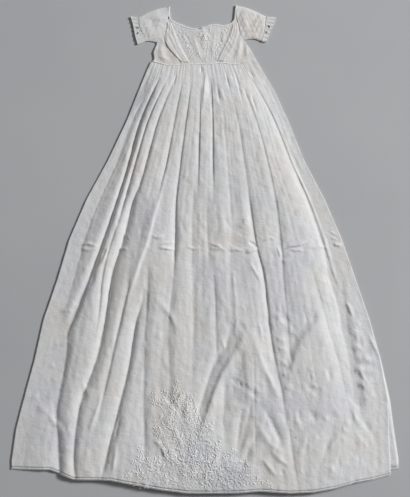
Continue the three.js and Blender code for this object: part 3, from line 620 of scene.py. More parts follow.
def cotton(name, white, cool, warm, marks=(), uv="cut", crinkle=1.0, worked=()):
    """Washed cotton: a white that drifts to a cool and a warm one over drift_mm, with slubs along both
    threads and soft crinkles in the bump, and marks (across, down, radius, colour, strength).
    Needlework puckers the cloth in the worked ellipses (across, down, half width, half depth)."""
    material, tree = new_material(name)
    place = add(tree, "ShaderNodeTexCoord").outputs["Object"]
    cut = add(tree, "ShaderNodeUVMap", uv_map=uv).outputs["UV"] if uv else place
    patches = {"Scale": 1 / (drift_mm * MM), "Detail": 3.0}
    drift = add(tree, "ShaderNodeTexNoise", patches, {"Vector": place}).outputs["Fac"]
    cool_share = add(tree, "ShaderNodeMapRange", {"From Min": 0.5, "From Max": 0.66}, {"Value": drift})
    warm_share = add(tree, "ShaderNodeMapRange", {"From Min": 0.48, "From Max": 0.34}, {"Value": drift})
    cooler = {"Color1": linear(white), "Color2": linear(cool)}
    shade = add(tree, "ShaderNodeMixRGB", cooler, {"Fac": cool_share.outputs[0]})
    mixed = {"Fac": warm_share.outputs[0], "Color1": shade.outputs[0]}
    shade = add(tree, "ShaderNodeMixRGB", {"Color2": linear(warm)}, mixed)
    rumples = {"Scale": 1 / (rumple_mm * MM), "Detail": 3.0, "Roughness": 0.5, "Distortion": 0.2}
    relief = add(tree, "ShaderNodeTexNoise", rumples, {"Vector": place})
    height = add(tree, "ShaderNodeMath", {1: 1.2 * crinkle}, {0: relief.outputs["Fac"]}, operation="MULTIPLY")
    for width, length in ((slub_width_mm, slub_length_mm), (slub_length_mm, slub_width_mm)):
        scale = (1 / (width * MM), 1 / (length * MM), 1.0)
        stretched = add(tree, "ShaderNodeMapping", {"Scale": scale}, {"Vector": cut})
        threads_drawn = {"Scale": 1.0, "Detail": 2.0}
        slubs = add(tree, "ShaderNodeTexNoise", threads_drawn, {"Vector": stretched.outputs[0]})
        limits = {"From Min": 0.3, "From Max": 0.7, "To Min": 0.985, "To Max": 1.012}
        pale = add(tree, "ShaderNodeMapRange", limits, {"Value": slubs.outputs["Fac"]})
        both = {"Color1": shade.outputs[0], "Color2": pale.outputs[0]}
        shade = add(tree, "ShaderNodeMixRGB", {"Fac": 1.0}, both, blend_type="MULTIPLY")
        raised = {0: slubs.outputs["Fac"], 2: height.outputs[0]}
        height = add(tree, "ShaderNodeMath", {1: 0.2}, raised, operation="MULTIPLY_ADD")
    for across, down, half_width, half_depth in worked:
        middle = (-across / half_width, (down - gown_length / 2) / half_depth, 0.0)
        scale = (1 / (half_width * MM), 1 / (half_depth * MM), 0.0)
        local = add(tree, "ShaderNodeVectorMath", {1: scale, 2: middle}, {0: place}, operation="MULTIPLY_ADD")
        from_middle = add(tree, "ShaderNodeVectorMath", links={0: local.outputs[0]}, operation="LENGTH")
        limits = {"From Min": 1.05, "From Max": 0.55, "To Max": worked_pucker}
        inside = add(tree, "ShaderNodeMapRange", limits, {"Value": from_middle.outputs["Value"]})
        puckers = {"Scale": 1 / (pucker_mm * MM), "Detail": 3.0, "Roughness": 0.6}
        pucker = add(tree, "ShaderNodeTexNoise", puckers, {"Vector": place})
        raised = {0: pucker.outputs["Fac"], 1: inside.outputs[0], 2: height.outputs[0]}
        height = add(tree, "ShaderNodeMath", links=raised, operation="MULTIPLY_ADD")
    if marks:
        flat = add(tree, "ShaderNodeVectorMath", {1: (1.0, 1.0, 0.0)}, {0: place}, operation="MULTIPLY")
        edges = {"Scale": 1 / (ragged_mm * MM), "Detail": 3.0}
        ragged = add(tree, "ShaderNodeTexNoise", edges, {"Vector": place})
    for across, down, radius, colour, strength in marks:
        spot = (across * MM, (gown_length / 2 - down) * MM, 0.0)
        distance = add(tree, "ShaderNodeVectorMath", {1: spot}, {0: flat.outputs[0]}, operation="DISTANCE")
        further = {0: ragged.outputs["Fac"], 2: distance.outputs["Value"]}
        frayed = add(tree, "ShaderNodeMath", {1: radius * MM}, further, operation="MULTIPLY_ADD").outputs[0]
        limits = {"From Min": 1.5 * radius * MM, "From Max": 0.6 * radius * MM, "To Max": strength}
        share = add(tree, "ShaderNodeMapRange", limits, {"Value": frayed}, interpolation_type="SMOOTHSTEP")
        mixed = {"Fac": share.outputs[0], "Color1": shade.outputs[0]}
        shade = add(tree, "ShaderNodeMixRGB", {"Color2": linear(colour)}, mixed)
    stands_off = {"Strength": 1.0, "Distance": bump_mm * MM}
    bump = add(tree, "ShaderNodeBump", stands_off, {"Height": height.outputs[0]})
    surface = {"Roughness": 0.88, "Sheen Weight": 0.25, "Sheen Roughness": 0.5, "Specular IOR Level": 0.3}
    look = {"Base Color": shade.outputs[0], "Normal": bump.outputs[0]}
    shader = add(tree, "ShaderNodeBsdfPrincipled", surface, look)
    add(tree, "ShaderNodeOutputMaterial", links={"Surface": shader.outputs["BSDF"]})
    return material


# The sprig above the hem is worked within these ellipses: across, down, half width, half depth.
hem_worked = [(-34, 988, 158, 42), (-34, 910, 62, 78), (50, 990, 70, 40)]
skirt_lawn = cotton("woven_cotton_lawn", lawn_white, lawn_cool, lawn_warm, stains, worked=hem_worked)

skirt_cut_mm = (1000, 905)  # the panel before it was gathered: its hem and its length


def cut_uv(u, v, width, length):
    """Places on the flat cut in metres, for shares u across and v down."""
    u, v = np.broadcast_arrays(u, v)
    return np.stack([(u - 0.5) * width, (1 - v) * length], -1).reshape(-1, 2) * MM


front_u = np.linspace(0, 1, front_columns)[None, :]
front_v = rows_closer(front_rows, [(0.0, 2.4, 0.05), (0.425, 1.6, 0.045), (0.97, 0.4, 0.06)])[:, None]
grid_u, grid_v = np.broadcast_arrays(front_u, front_v)
front_across, front_down = skirt_place("front", grid_u, grid_v)
front_heights = skirt_height(front_across, front_down)
front_points = lay(front_across, front_down, front_level + front_heights)
under_points = front_points[::under_step, ::under_step] - (0, 0, cloth)
points, faces = thin_shell(front_points, under_points)
front_uv = np.concatenate([
    cut_uv(front_u, front_v, *skirt_cut_mm),
    cut_uv(front_u[:, ::under_step], front_v[::under_step], *skirt_cut_mm),
])
skirt_front = make_piece("skirt_front", points, faces, skirt_lawn, ["skirt_front"], flat_uv=front_uv)

# Skirt back
# The back is a like width of lawn under the front. It lies flat on the table, and its underside is
# pressed into shallow pleats. Its edges show past the front at the sides and the hem.
back_level = 1.1  # upper face of the back
pleat_count = 26
pleat_depth = 0.45
back_columns, back_rows = 131, 101
back_u = np.linspace(0, 1, back_columns)[None, :]
back_v = rows_closer(back_rows, [(0.0, 1.5, 0.05)])[:, None]
grid_u, grid_v = np.broadcast_arrays(back_u, back_v)
back_across, back_down = skirt_place("back", grid_u, grid_v)
back_points = lay(back_across, back_down, back_level + 0.12 * waves(back_across, back_down, 21, 60))
pleat_turn = pleat_count * grid_u + 0.5 * np.sin(7 * grid_u) + 0.3 * np.sin(4 * grid_v)
pleats = 0.5 - 0.5 * np.cos(2 * np.pi * pleat_turn)
pressed = pleat_depth * pleats**3 * (0.45 + 0.55 * smooth_step(1 - grid_v, 0.1, 0.8))
uneven = 0.08 * waves(back_across, back_down, 22, 50)
back_under = lay(back_across, back_down, np.clip(pressed + uneven, 0, 0.6))
points, faces = thin_shell(back_points, back_under)
back_uv = np.tile(cut_uv(back_u, back_v, *skirt_cut_mm), (2, 1))
skirt_back = make_piece("skirt_back", points, faces, skirt_lawn, ["skirt_back"], flat_uv=back_uv)

# Hem edging
# A narrow cotton edging is whipped to the raw hem of each layer: a close woven heading, and a row of
# small thread loops, 4 mm apart, along its lower side.
heading_width = 2.8
rib_pitch, rib_height = 1.9, 0.18
loop_pitch = 4.0
loop_depth = 1.9
loop_thread = 0.75
edging_white, edging_cool, edging_warm = "#F1F0EE", "#E6E6EA", "#ECE8E1"


def threads(paths, width, height, sides=6):
    """Joined closed threads along paths (count, stations, 3): at each station an ellipse of that width
    and height stands across the path, upright. Width and height may change from station to station."""
    paths = np.asarray(paths, float)
    count, stations = paths.shape[:2]
    width = np.broadcast_to(width, (count, stations))[..., None, None] / 2
    height = np.broadcast_to(height, (count, stations))[..., None, None] / 2
    along = np.gradient(paths, axis=1)
    along /= np.maximum(np.linalg.norm(along, axis=-1, keepdims=True), 1e-9)
    across = np.cross(along, (0, 0, 1.0))
    across /= np.maximum(np.linalg.norm(across, axis=-1, keepdims=True), 1e-9)
    upright = np.cross(across, along)
    turn = 2 * np.pi * (np.arange(sides) + 0.5) / sides
    wide = np.cos(turn)[:, None] * across[:, :, None] * width
    ring = wide + np.sin(turn)[:, None] * upright[:, :, None] * height
    points = (paths[:, :, None] + ring).reshape(-1, 3)
    start = (np.arange(count)[:, None] * stations + np.arange(stations - 1)).reshape(-1, 1) * sides
    side = np.arange(sides)
    after = (side + 1) % sides
    quads = np.stack([start + side, start + sides + side, start + sides + after, start + after], -1)
    first = np.arange(count)[:, None] * stations * sides + side
    last = first[:, ::-1] + (stations - 1) * sides
    return points, quads.reshape(-1, 4).tolist() + first.tolist() + last.tolist()


def joined(*parts):
    """Several (points, faces) pairs as one."""
    points, faces, offset = [], [], 0
    for part_points, part_faces in parts:
        points.append(np.asarray(part_points, float).reshape(-1, 3))
        faces += [[corner + offset for corner in face] for face in part_faces]
        offset += len(points[-1])
    return np.concatenate(points), faces


def hem_row(side, u):
    """Plan and level of the panel's last row at shares u of its width."""
    across, down = skirt_place(side, u, np.ones_like(u))
    level = front_level + skirt_height(across, down) if side == "front" else np.full_like(u, back_level)
    return across, down, level


def edging(side, wall):
    """The heading is a ribbed shell below the last row. Each loop is half an ellipse of thread."""
    u = np.linspace(0, 1, 521)
    across, down, level = hem_row(side, u)
    out = np.linspace(seam_gap, heading_width, 5)[:, None]
    ribs = rib_height * np.sin(2 * np.pi * across / rib_pitch)
    crown = 0.25 * np.sin(np.pi * out / heading_width)
    upper = lay(across, down + out, level + ribs * (out > seam_gap) + crown)
    heading = thin_shell(upper, upper - (0, 0, wall))
    count = int((across[-1] - across[0]) / loop_pitch)
    at = np.interp(np.arange(count) + 0.5, (across - across[0]) / loop_pitch, u)
    uneven = 1 + 0.12 * waves(at * 900, 0 * at, 31, 40)
    turn = np.linspace(0, np.pi, 8)
    spot_across, spot_down, spot_level = (each[:, None] for each in hem_row(side, at))
    loop_across = spot_across - 0.43 * loop_pitch * np.cos(turn)
    loop_down = spot_down + heading_width - 0.2 + loop_depth * np.sin(turn) * uneven[:, None]
    loops = threads(lay(loop_across, loop_down, spot_level - wall / 2), loop_thread, loop_thread, 5)
    return joined(heading, loops)


# Edging thread: soft spun cotton, matt, and a little brighter and warmer than the lawn. The largest
# stain of the hem runs into it.
edging_cotton = cotton("cotton_thread_edging", edging_white, edging_cool, edging_warm, stains[:1], uv="")
edging_back, edging_front = [
    make_piece(name, *edging(side, wall), edging_cotton, [name], "cotton_trim")
    for name, side, wall in (("hem_edging_back", "back", back_level), ("hem_edging_front", "front", cloth))
]

# Hem stitches and whitework
# The hem is turned up and held by a row of small running stitches. Above it, left of the middle, a
# sprig of whitework is worked by hand in soft cotton: stems in stem stitch, leaves and petals in
# padded satin stitch, and eyelets bound round a small hole.
stitch_length, stitch_pitch, stitch_thread = 2.3, 3.4, 0.5
turn_up = 6.5
stem_width, stem_rise = 1.8, 0.9
leaf_rise = 1.7
petal_length, petal_width = 5.8, 3.4
dot_length, dot_width = 2.6, 2.4
eyelet_radius, eyelet_binding, eyelet_rise = 1.9, 1.3, 0.9
satin_white, satin_cool, satin_warm = "#F3F3F2", "#EAEAEE", "#EFEBE5"

# Stems: where each starts (across, down), its heading in degrees from straight up to the right, its
# length, how far it turns, how many leaves it bears, and what it ends in.
stems = [
    (-38, 1004, -8, 196, -26, 15, "flower"),
    (-40, 968, -62, 92, 40, 9, "flower"),
    (-37, 950, 48, 84, -66, 8, "flower"),
    (-46, 918, -48, 66, 64, 6, "bud"),
    (-42, 896, 38, 54, -70, 5, "flower"),
    (-52, 868, -40, 44, 76, 4, "bud"),
    (-50, 846, 34, 36, -80, 3, "bud"),
    (-58, 1000, -78, 104, 58, 10, "flower"),
    (-14, 1003, 74, 100, -52, 10, "flower"),
    (-96, 984, -30, 58, -70, 5, "flower"),
    (28, 984, 26, 62, 84, 6, "flower"),
    (62, 1002, 70, 52, -84, 5, "bud"),
    (-126, 992, -66, 44, 96, 4, "flower"),
    (-84, 944, -20, 40, 88, 3, "bud"),
    (10, 936, 20, 40, -92, 3, "bud"),
    (-64, 826, -24, 30, 70, 2, "flower"),
    (92, 1006, 48, 46, 90, 4, "flower"),
]
eyelet_spots = [
    (-70, 958), (-16, 972), (-100, 1002), (40, 1006), (6, 912), (-78, 904), (-62, 882), (-28, 866),
    (-118, 966), (66, 972), (-30, 1012), (-8, 1012), (-140, 1004), (104, 1010), (-56, 846), (-74, 1012),
]
dot_count = 210
filler_count = 46
whitework_seed = 17


def stem_path(start, heading, length, turn, stations=26):
    """A stem that turns evenly: its heading is heading + turn * share, and its place is the sum of its
    steps. Returns the places (stations, 2) and the headings in radians."""
    share = np.linspace(0, 1, stations)
    angle = np.radians(heading + turn * share)
    step = length / (stations - 1)
    across = start[0] + np.concatenate([[0], np.cumsum(np.sin(angle[:-1]))]) * step
    down = start[1] - np.concatenate([[0], np.cumsum(np.cos(angle[:-1]))]) * step
    return np.stack([across, down], -1), angle


def padded_leaves(centres, angles, lengths, widths, stations=7):
    """Straight lens outlines in plan, about a middle line: at each share of the length, counted from
    the middle, the width is cos(pi * share) ** 0.7 of the full one."""
    share = np.linspace(-0.48, 0.48, stations)
    direction = np.stack([np.sin(angles), -np.cos(angles)], -1)
    paths = centres[:, None] + direction[:, None] * (share[:, None] * np.asarray(lengths)[:, None, None])
    swell = np.maximum(np.cos(np.pi * share), 0.06) ** 0.7
    return paths, swell * np.asarray(widths)[:, None]


def on_surface(paths, surface, lift):
    """Plan paths (..., 2) laid on a surface, whose level is a function of across and down."""
    return lay(paths[..., 0], paths[..., 1], surface(paths[..., 0], paths[..., 1]) + lift)


def rings(centres, radius, stations=13):
    """Plan circles about centres (count, 2)."""
    turn = np.linspace(0, 2 * np.pi, stations)
    return centres[:, None] + radius * np.stack([np.cos(turn), np.sin(turn)], -1)


def whitework(stem_rows, eyelets, dots, surface, scale=1.0):
    """One joined mesh: stems, alternate leaves along them, flowers or buds at their ends, eyelets, and
    dots, each laid on the surface."""
    paths, centres, angles, lengths, widths, holes = [], [], [], [], [], list(eyelets)
    draw = np.random.default_rng(whitework_seed)
    for across, down, heading, length, turn, leaves, ending in stem_rows:
        path, angle = stem_path((across, down), heading, length, turn)
        paths.append(path)
        for number in range(leaves):
            spot = int((number + 0.8) / (leaves + 0.6) * (len(path) - 1))
            lean = angle[spot] + (-1) ** number * np.radians(draw.uniform(42, 66))
            size = scale * draw.uniform(7.5, 12.0) * (1 - 0.3 * number / leaves)
            centres.append(path[spot] + size * 0.62 * np.array([np.sin(lean), -np.cos(lean)]))
            angles.append(lean)
            lengths.append(size)
            widths.append(size * draw.uniform(0.36, 0.48))
        petals, reach = (6, 4.6 * scale) if ending == "flower" else (3, 3.6 * scale)
        tip = path[-1] + 3.2 * scale * np.array([np.sin(angle[-1]), -np.cos(angle[-1])])
        fan = 2 * np.pi * np.arange(petals) / petals if ending == "flower" else np.radians([-38, 0, 38])
        for lean in fan + angle[-1]:
            centres.append(tip + reach * np.array([np.sin(lean), -np.cos(lean)]))
            angles.append(lean)
            lengths.append(petal_length * scale)
            widths.append(petal_width * scale)
        if ending == "flower":
            holes.append(tip)
    leaf_paths, leaf_widths = padded_leaves(np.array(centres), np.array(angles), lengths, widths)
    dot_sizes = [np.full(len(dots), size * scale) for size in (dot_length, dot_width)]
    dot_paths, dot_widths = padded_leaves(np.asarray(dots), np.zeros(len(dots)), *dot_sizes, 5)
    rise = leaf_rise * scale**0.5
    leaf_rises = rise * leaf_widths / leaf_widths.max() + 0.25
    return joined(
        threads(on_surface(np.array(paths), surface, 0.1), stem_width * scale, stem_rise * scale, 6),
        threads(on_surface(leaf_paths, surface, 0.1), leaf_widths, leaf_rises, 6),
        threads(on_surface(dot_paths, surface, 0.1), dot_widths, rise * dot_widths / dot_widths.max(), 6),
        threads(
            on_surface(rings(np.array(holes), eyelet_radius * scale), surface, 0.15),
            eyelet_binding * scale, eyelet_rise, 5,
        ),
    )


def front_surface(across, down):
    """Level of the skirt front's upper face at places across and down."""
    return front_level + skirt_height(np.asarray(across, float), np.asarray(down, float))


# Dots and small sprigs fill the ground between the stems, closer together towards the hem.
draw = np.random.default_rng(whitework_seed + 1)
dot_down = 1014 - 200 * draw.uniform(0, 1, dot_count) ** 1.5
dot_across = -48 + (22 + 0.38 * (dot_down - 800)) * draw.uniform(-1, 1, dot_count)
for k in range(filler_count):
    depth = 990 - 170 * draw.uniform(0, 1) ** 1.4
    across = -50 + (14 + 0.42 * (depth - 800)) * draw.uniform(-1, 1)
    ending = ("flower", "bud")[draw.integers(2)]
    heading, length, turn = draw.uniform(-75, 75), draw.uniform(18, 36), draw.uniform(-70, 70)
    stems.append((across, depth, heading, length, turn, draw.integers(3, 6), ending))

# Embroidery cotton: loosely twisted and soft, laid in close floats, so it is whiter than the ground.
satin_cotton = cotton("satin_stitch_cotton", satin_white, satin_cool, satin_warm, uv="")
hem_sprig = whitework(stems, eyelet_spots, np.stack([dot_across, dot_down], -1), front_surface)
hem_whitework = make_piece("hem_whitework", *hem_sprig, satin_cotton, slot="cotton_trim")

stitch_u = np.arange(0.004, 0.996, stitch_pitch / full_width)
stitch_across, stitch_down, _ = hem_row("front", stitch_u)
stitch_down = stitch_down - turn_up + 0.3 * waves(stitch_across, 0 * stitch_across, 44, 30)
step = np.linspace(-0.5, 0.5, 4) * stitch_length
stitch_paths = np.stack(np.broadcast_arrays(stitch_across[:, None] + step, stitch_down[:, None]), -1)
stitch_height = stitch_thread * np.array([0.5, 1, 1, 0.5])
hem_stitches = make_piece(
    "hem_stitches", *threads(on_surface(stitch_paths, front_surface, 0.05), stitch_thread, stitch_height, 4),
    satin_cotton, slot="cotton_trim",
)

# Waist piping
# A thin cord covered with bias-cut lawn lies in the seam between bodice and skirt, front and back.
# The gathers pull it into small waves.
piping_level = 1.5
piping_height = 2.9


def piping(side, level, height, stations=300):
    """A band along the waist seam, which the gathers pinch and push a little up and down the gown."""
    across = np.linspace(waist_across[0], waist_across[-1], stations)
    sway = 0.35 * waves(across, 0 * across, 51, 22)
    pinch = 1 + 0.09 * np.sin(2 * np.pi * across / 4.1) + 0.05 * waves(across, 0 * across, 52, 14)
    middle = lay(across, waist_at(side, across) + sway, level + height / 2)
    return threads(middle[None], piping_width * pinch, height * pinch**0.5, 10)


# Piping: lawn drawn tight over a cord. Its whites are set lighter than the lawn's as a painted highlight, for
# the light that falls on the smooth, rounded cord.
piping_painted_highlight_white, piping_cool, piping_warm = "#F6F5F3", "#EDEDF0", "#F0ECE6"
piping_cotton = cotton("covered_cord_piping_painted_highlight", piping_painted_highlight_white, piping_cool, piping_warm, uv="")
for side, level, height in (("front", piping_level, piping_height), ("back", 0, back_level)):
    name = f"waist_piping_{side}"
    make_piece(name, *piping(side, level, height), piping_cotton, [name], "cotton_trim")

# Bodice
# The bodice is cut from the same lawn: a back in two halves, and a front of two side pieces, two
# bands worked with whitework, and a narrow centre insert, sewn edge to edge. It is 75 mm high.
casing_width = 4.0
strap_share = 0.12  # share of the neckline at each end where the strap is the casing alone
armhole_gap = 0.25
puff_limit = 3
neck_line = [
    (-74, 4.8), (-73.6, 20), (-70.5, 31), (-63, 36), (-46, 43), (-31, 48), (-12, 49.6), (0, 45.6),
    (10, 42), (22, 40.6), (36, 43.2), (48, 40.5), (56.5, 35.8), (60.4, 30), (61.8, 20), (63.6, 1.5),
]
armhole_left = [(-79, 5.6), (-80, 22), (-83.5, 35), (-83, 52), (-89, 66), (-102, 80)]
armhole_right = [(68.6, 2.6), (68, 20), (70, 36), (74, 56), (78, 68), (83, 75)]
side_left = [(-101.5, 82), (-108.5, 99), (-107, 110), (-109, 117)]
side_right = [(83.5, 77), (94, 91), (100.5, 102), (103.5, 110)]

# Seams: places across at the neck and at the waist.
front_seams = {
    "left_outer": (-72, -30),
    "left_inner": (-50, -1.5),
    "right_inner": (11, 1.5),
    "right_outer": (57, 31),
}
back_opening = (-5, -2)

# Soft creases of the front: rise, two widths, places.
bodice_creases = [
    (1.5, 5, 6, [(-97, 84), (-90, 104), (-84, 122)]),
    (-1.2, 3, 4, [(-101, 78), (-96, 96)]),
    (1.3, 3, 5, [(-92, 70), (-80, 88)]),
    (-1.1, 3, 3, [(-82, 60), (-86, 78), (-80, 96)]),
    (1.2, 4, 5, [(-66, 104), (-56, 120)]),
    (1.4, 4, 4, [(-100, 108), (-74, 117)]),
    (1.4, 4, 5, [(74, 66), (72, 90), (66, 114)]),
    (-1.3, 3, 4, [(80, 72), (80, 96), (76, 116)]),
    (1.2, 4, 4, [(86, 84), (88, 112)]),
    (-1.0, 3, 3, [(62, 92), (56, 116)]),
    (0.9, 4, 4, [(-26, 56), (-18, 90), (-8, 116)]),
    (0.9, 4, 5, [(0, 56), (-3, 92)]),
    (0.8, 4, 4, [(20, 50), (18, 84), (12, 116)]),
    (-0.8, 3, 3, [(-40, 60), (-30, 92)]),
    (-0.8, 3, 3, [(34, 54), (28, 96)]),
    (0.9, 3, 3, [(6, 60), (-8, 74)]),
]


def run_between(places):
    """A run through places that lie close together, by share of its length."""
    places = np.asarray(places, float)
    length = np.concatenate([[0], np.cumsum(np.linalg.norm(np.diff(places, axis=0), axis=1))])

    def at(share):
        here = np.clip(share, 0, 1) * length[-1]
        return np.stack([np.interp(here, length, places[:, 0]), np.interp(here, length, places[:, 1])], -1)

    return at


def straight(start, end):
    """A straight run between two places."""
    start, end = np.asarray(start, float), np.asarray(end, float)
    return lambda share: start + (end - start) * np.asarray(share, float)[..., None]


def plan_curve(places):
    """A smooth curve through places (across, down), by share of its length: centripetal Catmull-Rom,
    a cubic for each span whose end slopes weigh the spans by the root of their lengths."""
    known = np.asarray(places, float)
    known = np.concatenate([[2 * known[0] - known[1]], known, [2 * known[-1] - known[-2]]])
    knots = np.maximum(np.linalg.norm(np.diff(known, axis=0), axis=1) ** 0.5, 1e-6)
    dense = [known[1:2]]
    t = np.linspace(0, 1, 33)[1:, None]
    for k in range(1, len(known) - 2):
        a, b, c, d = known[k - 1:k + 3]
        before, span, after = knots[k - 1:k + 2]
        leave = ((b - a) / before - (c - a) / (before + span) + (c - b) / span) * span
        arrive = ((c - b) / span - (d - b) / (span + after) + (d - c) / after) * span
        square, cube = 3 * (c - b) - 2 * leave - arrive, 2 * (b - c) + leave + arrive
        dense.append(b + leave * t + square * t**2 + cube * t**3)
    return run_between(np.concatenate(dense))


def patch(head, end, upper, lower):
    """Plan places over four border curves: along s from head to end, along t from upper to lower. Each
    is the sum of the straight spans between both pairs of borders, less that between the corners."""
    def at(s, t):
        s, t = np.broadcast_arrays(s, t)
        across, along = s[..., None], t[..., None]
        ruled = head(t) * (1 - across) + end(t) * across + upper(s) * (1 - along) + lower(s) * along
        first = head(0.0) * (1 - across) + end(0.0) * across
        last = head(1.0) * (1 - across) + end(1.0) * across
        return ruled - first * (1 - along) - last * along

    return at


neck = plan_curve(neck_line)


def neck_inside(share, distance):
    """The neckline moved by a distance square to its run, into the cloth."""
    step = 0.004
    run = neck(np.asarray(share) + step) - neck(np.asarray(share) - step)
    run = run / np.linalg.norm(run, axis=-1, keepdims=True)
    return neck(share) + distance * np.stack([-run[..., 1], run[..., 0]], -1)


def neck_share(across):
    """Share of the neckline at which the casing's inner side has that place across, by halving."""
    low, high = strap_share, 1 - strap_share
    for turn in range(30):
        middle = (low + high) / 2
        if neck_inside(middle, casing_width)[0] < across:
            low = middle
        else:
            high = middle
    return low


def bodice_height(across, down):
    """How far the bodice front puffs up: its creases over a low unevenness, from nothing to puff_limit,
    and less near the waist seam."""
    height = 0.5 + 0.28 * waves(across, down, 71, 38) + 0.1 * waves(across, down, 72, 11)
    for rise, left_width, right_width, places in bodice_creases:
        height = height + crease_height(across, down, rise, left_width, right_width, places, 1.7)
    above_waist = np.minimum(1, np.maximum(waist_at("front", across) - down, 0) / 8)
    return np.clip(height, 0, puff_limit) * (0.35 + 0.65 * above_waist)


def bodice_piece(name, side, left, right, columns=57, rows=41):
    """A bodice piece between two seams, each a (neck, waist) pair of places across, or a flank, the
    list of places down its armhole and side seam, which starts where the strap is the casing alone."""
    ends = {}
    for which, seam, inwards in (("left", left, 1), ("right", right, -1)):
        if len(seam) == 2:
            share, waist = neck_share(seam[0] + inwards * seam_gap / 2), seam[1] + inwards * seam_gap / 2
            top = [neck_inside(share, casing_width - tucked_under)]
            ends[which] = (share, waist, top, None)
            continue
        flank = plan_curve(seam)(np.linspace(0, 1, 60)) + (inwards * armhole_gap, 0)
        share = strap_share if which == "left" else 1 - strap_share
        top = neck_inside(share, casing_width - tucked_under)
        flank = flank[flank[:, 1] > top[1] + 1]
        ends[which] = (share, flank[-1, 0], [flank[0], top], flank)
    from_share, from_waist, from_top, from_flank = ends["left"]
    to_share, to_waist, to_top, to_flank = ends["right"]
    between = neck_inside(np.linspace(from_share, to_share, 40)[1:-1], casing_width - tucked_under)
    top = run_between([*from_top, *between, *to_top[::-1]])
    waist = np.linspace(from_waist, to_waist, 40)
    bottom = run_between(np.stack([waist, waist_at(side, waist) - piping_width / 2 + tucked_under], -1))
    borders = [
        straight(top(end), bottom(end)) if flank is None else run_between(flank)
        for flank, end in ((from_flank, 0.0), (to_flank, 1.0))
    ]
    plan = patch(*borders, top, bottom)
    s, t = np.linspace(0, 1, columns)[None, :], np.linspace(0, 1, rows)[:, None]
    places = plan(s, t)
    across, down = places[..., 0], places[..., 1]
    if side == "front":
        upper = lay(across, down, front_level + bodice_height(across, down))
        lower = upper - (0, 0, cloth)
    else:
        upper = lay(across, down, back_level + 0 * across)
        lower = lay(across, down, np.clip(0.25 * waves(across, down, 81, 34), 0, 0.4))
    points, faces = thin_shell(upper, lower)
    return make_piece(name, points, faces, bodice_lawn, [name], flat_uv=points[:, :2] * MM)


# The bodice's lawn: the same cloth, warmer from wear and less crinkled, because seams hold it.
bodice_white, bodice_cool, bodice_warm = "#ECEBEA", "#E3E3E8", "#EAE5DE"
bodice_marks = [
    (-72, 106, 16, "#E6D6CC", 0.45),
    (-12, 66, 20, "#E4D5CB", 0.4),
    (-95, 100, 9, "#E3D4CA", 0.35),
]
bodice_lawn = cotton("bodice_cotton_lawn", bodice_white, bodice_cool, bodice_warm, bodice_marks, crinkle=0.8)
flank_left, flank_right = armhole_left + side_left, armhole_right + side_right
bodice_pieces = [
    bodice_piece("bodice_back_left", "back", flank_left, back_opening),
    bodice_piece("bodice_back_right", "back", back_opening, flank_right),
    bodice_piece("bodice_side_left", "front", flank_left, front_seams["left_outer"]),
    bodice_piece("bodice_band_left", "front", front_seams["left_outer"], front_seams["left_inner"]),
    bodice_piece("bodice_insert", "front", front_seams["left_inner"], front_seams["right_inner"]),
    bodice_piece("bodice_band_right", "front", front_seams["right_inner"], front_seams["right_outer"]),
    bodice_piece("bodice_side_right", "front", front_seams["right_outer"], flank_right),
]

# What shows of each piece, laid flat: width and length, area in square metres, and what it lies on.
bodice_cuts = {
    "bodice_back_left": (0.107, 0.095, 0.0075, ["table_top"]),
    "bodice_back_right": (0.108, 0.099, 0.0072, ["table_top"]),
    "bodice_side_left": (0.079, 0.097, 0.0043, ["bodice_back_left"]),
    "bodice_band_left": (0.030, 0.092, 0.0020, ["bodice_back_left"]),
    "bodice_insert": (0.060, 0.079, 0.0023, ["bodice_back_left", "bodice_back_right"]),
    "bodice_band_right": (0.048, 0.085, 0.0029, ["bodice_back_right"]),
    "bodice_side_right": (0.072, 0.099, 0.0036, ["bodice_back_right"]),
}
for piece in bodice_pieces:
    width, length, area, below = bodice_cuts[piece.name.removesuffix("_cloth")]

# Bodice whitework
# The bands and the insert are worked in the same soft cotton as the hem, at a smaller scale: a
# running stem with leaves down each band, eyelets and dots, and a cord along the inner seams.
bodice_stems = [
    (-22, 117, -30, 66, 16, 11, "bud"),
    (-30, 104, -70, 16, 70, 2, "bud"),
    (-40, 84, 30, 15, -80, 2, "bud"),
    (-50, 72, -60, 13, 80, 2, "bud"),
    (-15, 110, -8, 22, -60, 3, "bud"),
    (22, 115, 22, 62, -8, 10, "bud"),
    (28, 98, -30, 15, 70, 2, "bud"),
    (35, 84, 60, 13, -80, 2, "bud"),
    (40, 70, -30, 14, 70, 2, "bud"),
    (14, 110, 2, 26, 40, 3, "bud"),
    (-2, 112, 2, 30, -20, 4, "flower"),
    (-4, 78, -40, 22, 80, 3, "bud"),
    (-4, 78, 40, 22, -80, 3, "bud"),
    (-22, 66, 60, 26, 50, 3, "bud"),
    (16, 62, -60, 24, -50, 3, "bud"),
]
bodice_eyelets = [
    (-36, 92), (-46, 78), (-56, 62), (-26, 106), (18, 100), (30, 90), (38, 72), (46, 58), (-5, 66),
    (10, 74), (-20, 78), (14, 88),
]
bodice_dots = [
    (-2, 117), (0, 117.5), (2, 117), (-1, 114.5), (1, 114.5), (0, 112), (16, 106), (24, 104), (34, 64),
    (42, 52), (48, 66), (28, 112), (-30, 98), (-42, 70), (-52, 54), (-60, 50), (-18, 98), (4, 56),
    (-12, 58), (8, 52),
]
bodice_scale = 0.62  # of the stitches, against those of the hem
seam_cord_width, seam_cord_rise = 1.2, 0.9


def bodice_surface(across, down):
    """Level of the bodice front's upper face at places across and down."""
    return front_level + bodice_height(np.asarray(across, float), np.asarray(down, float))


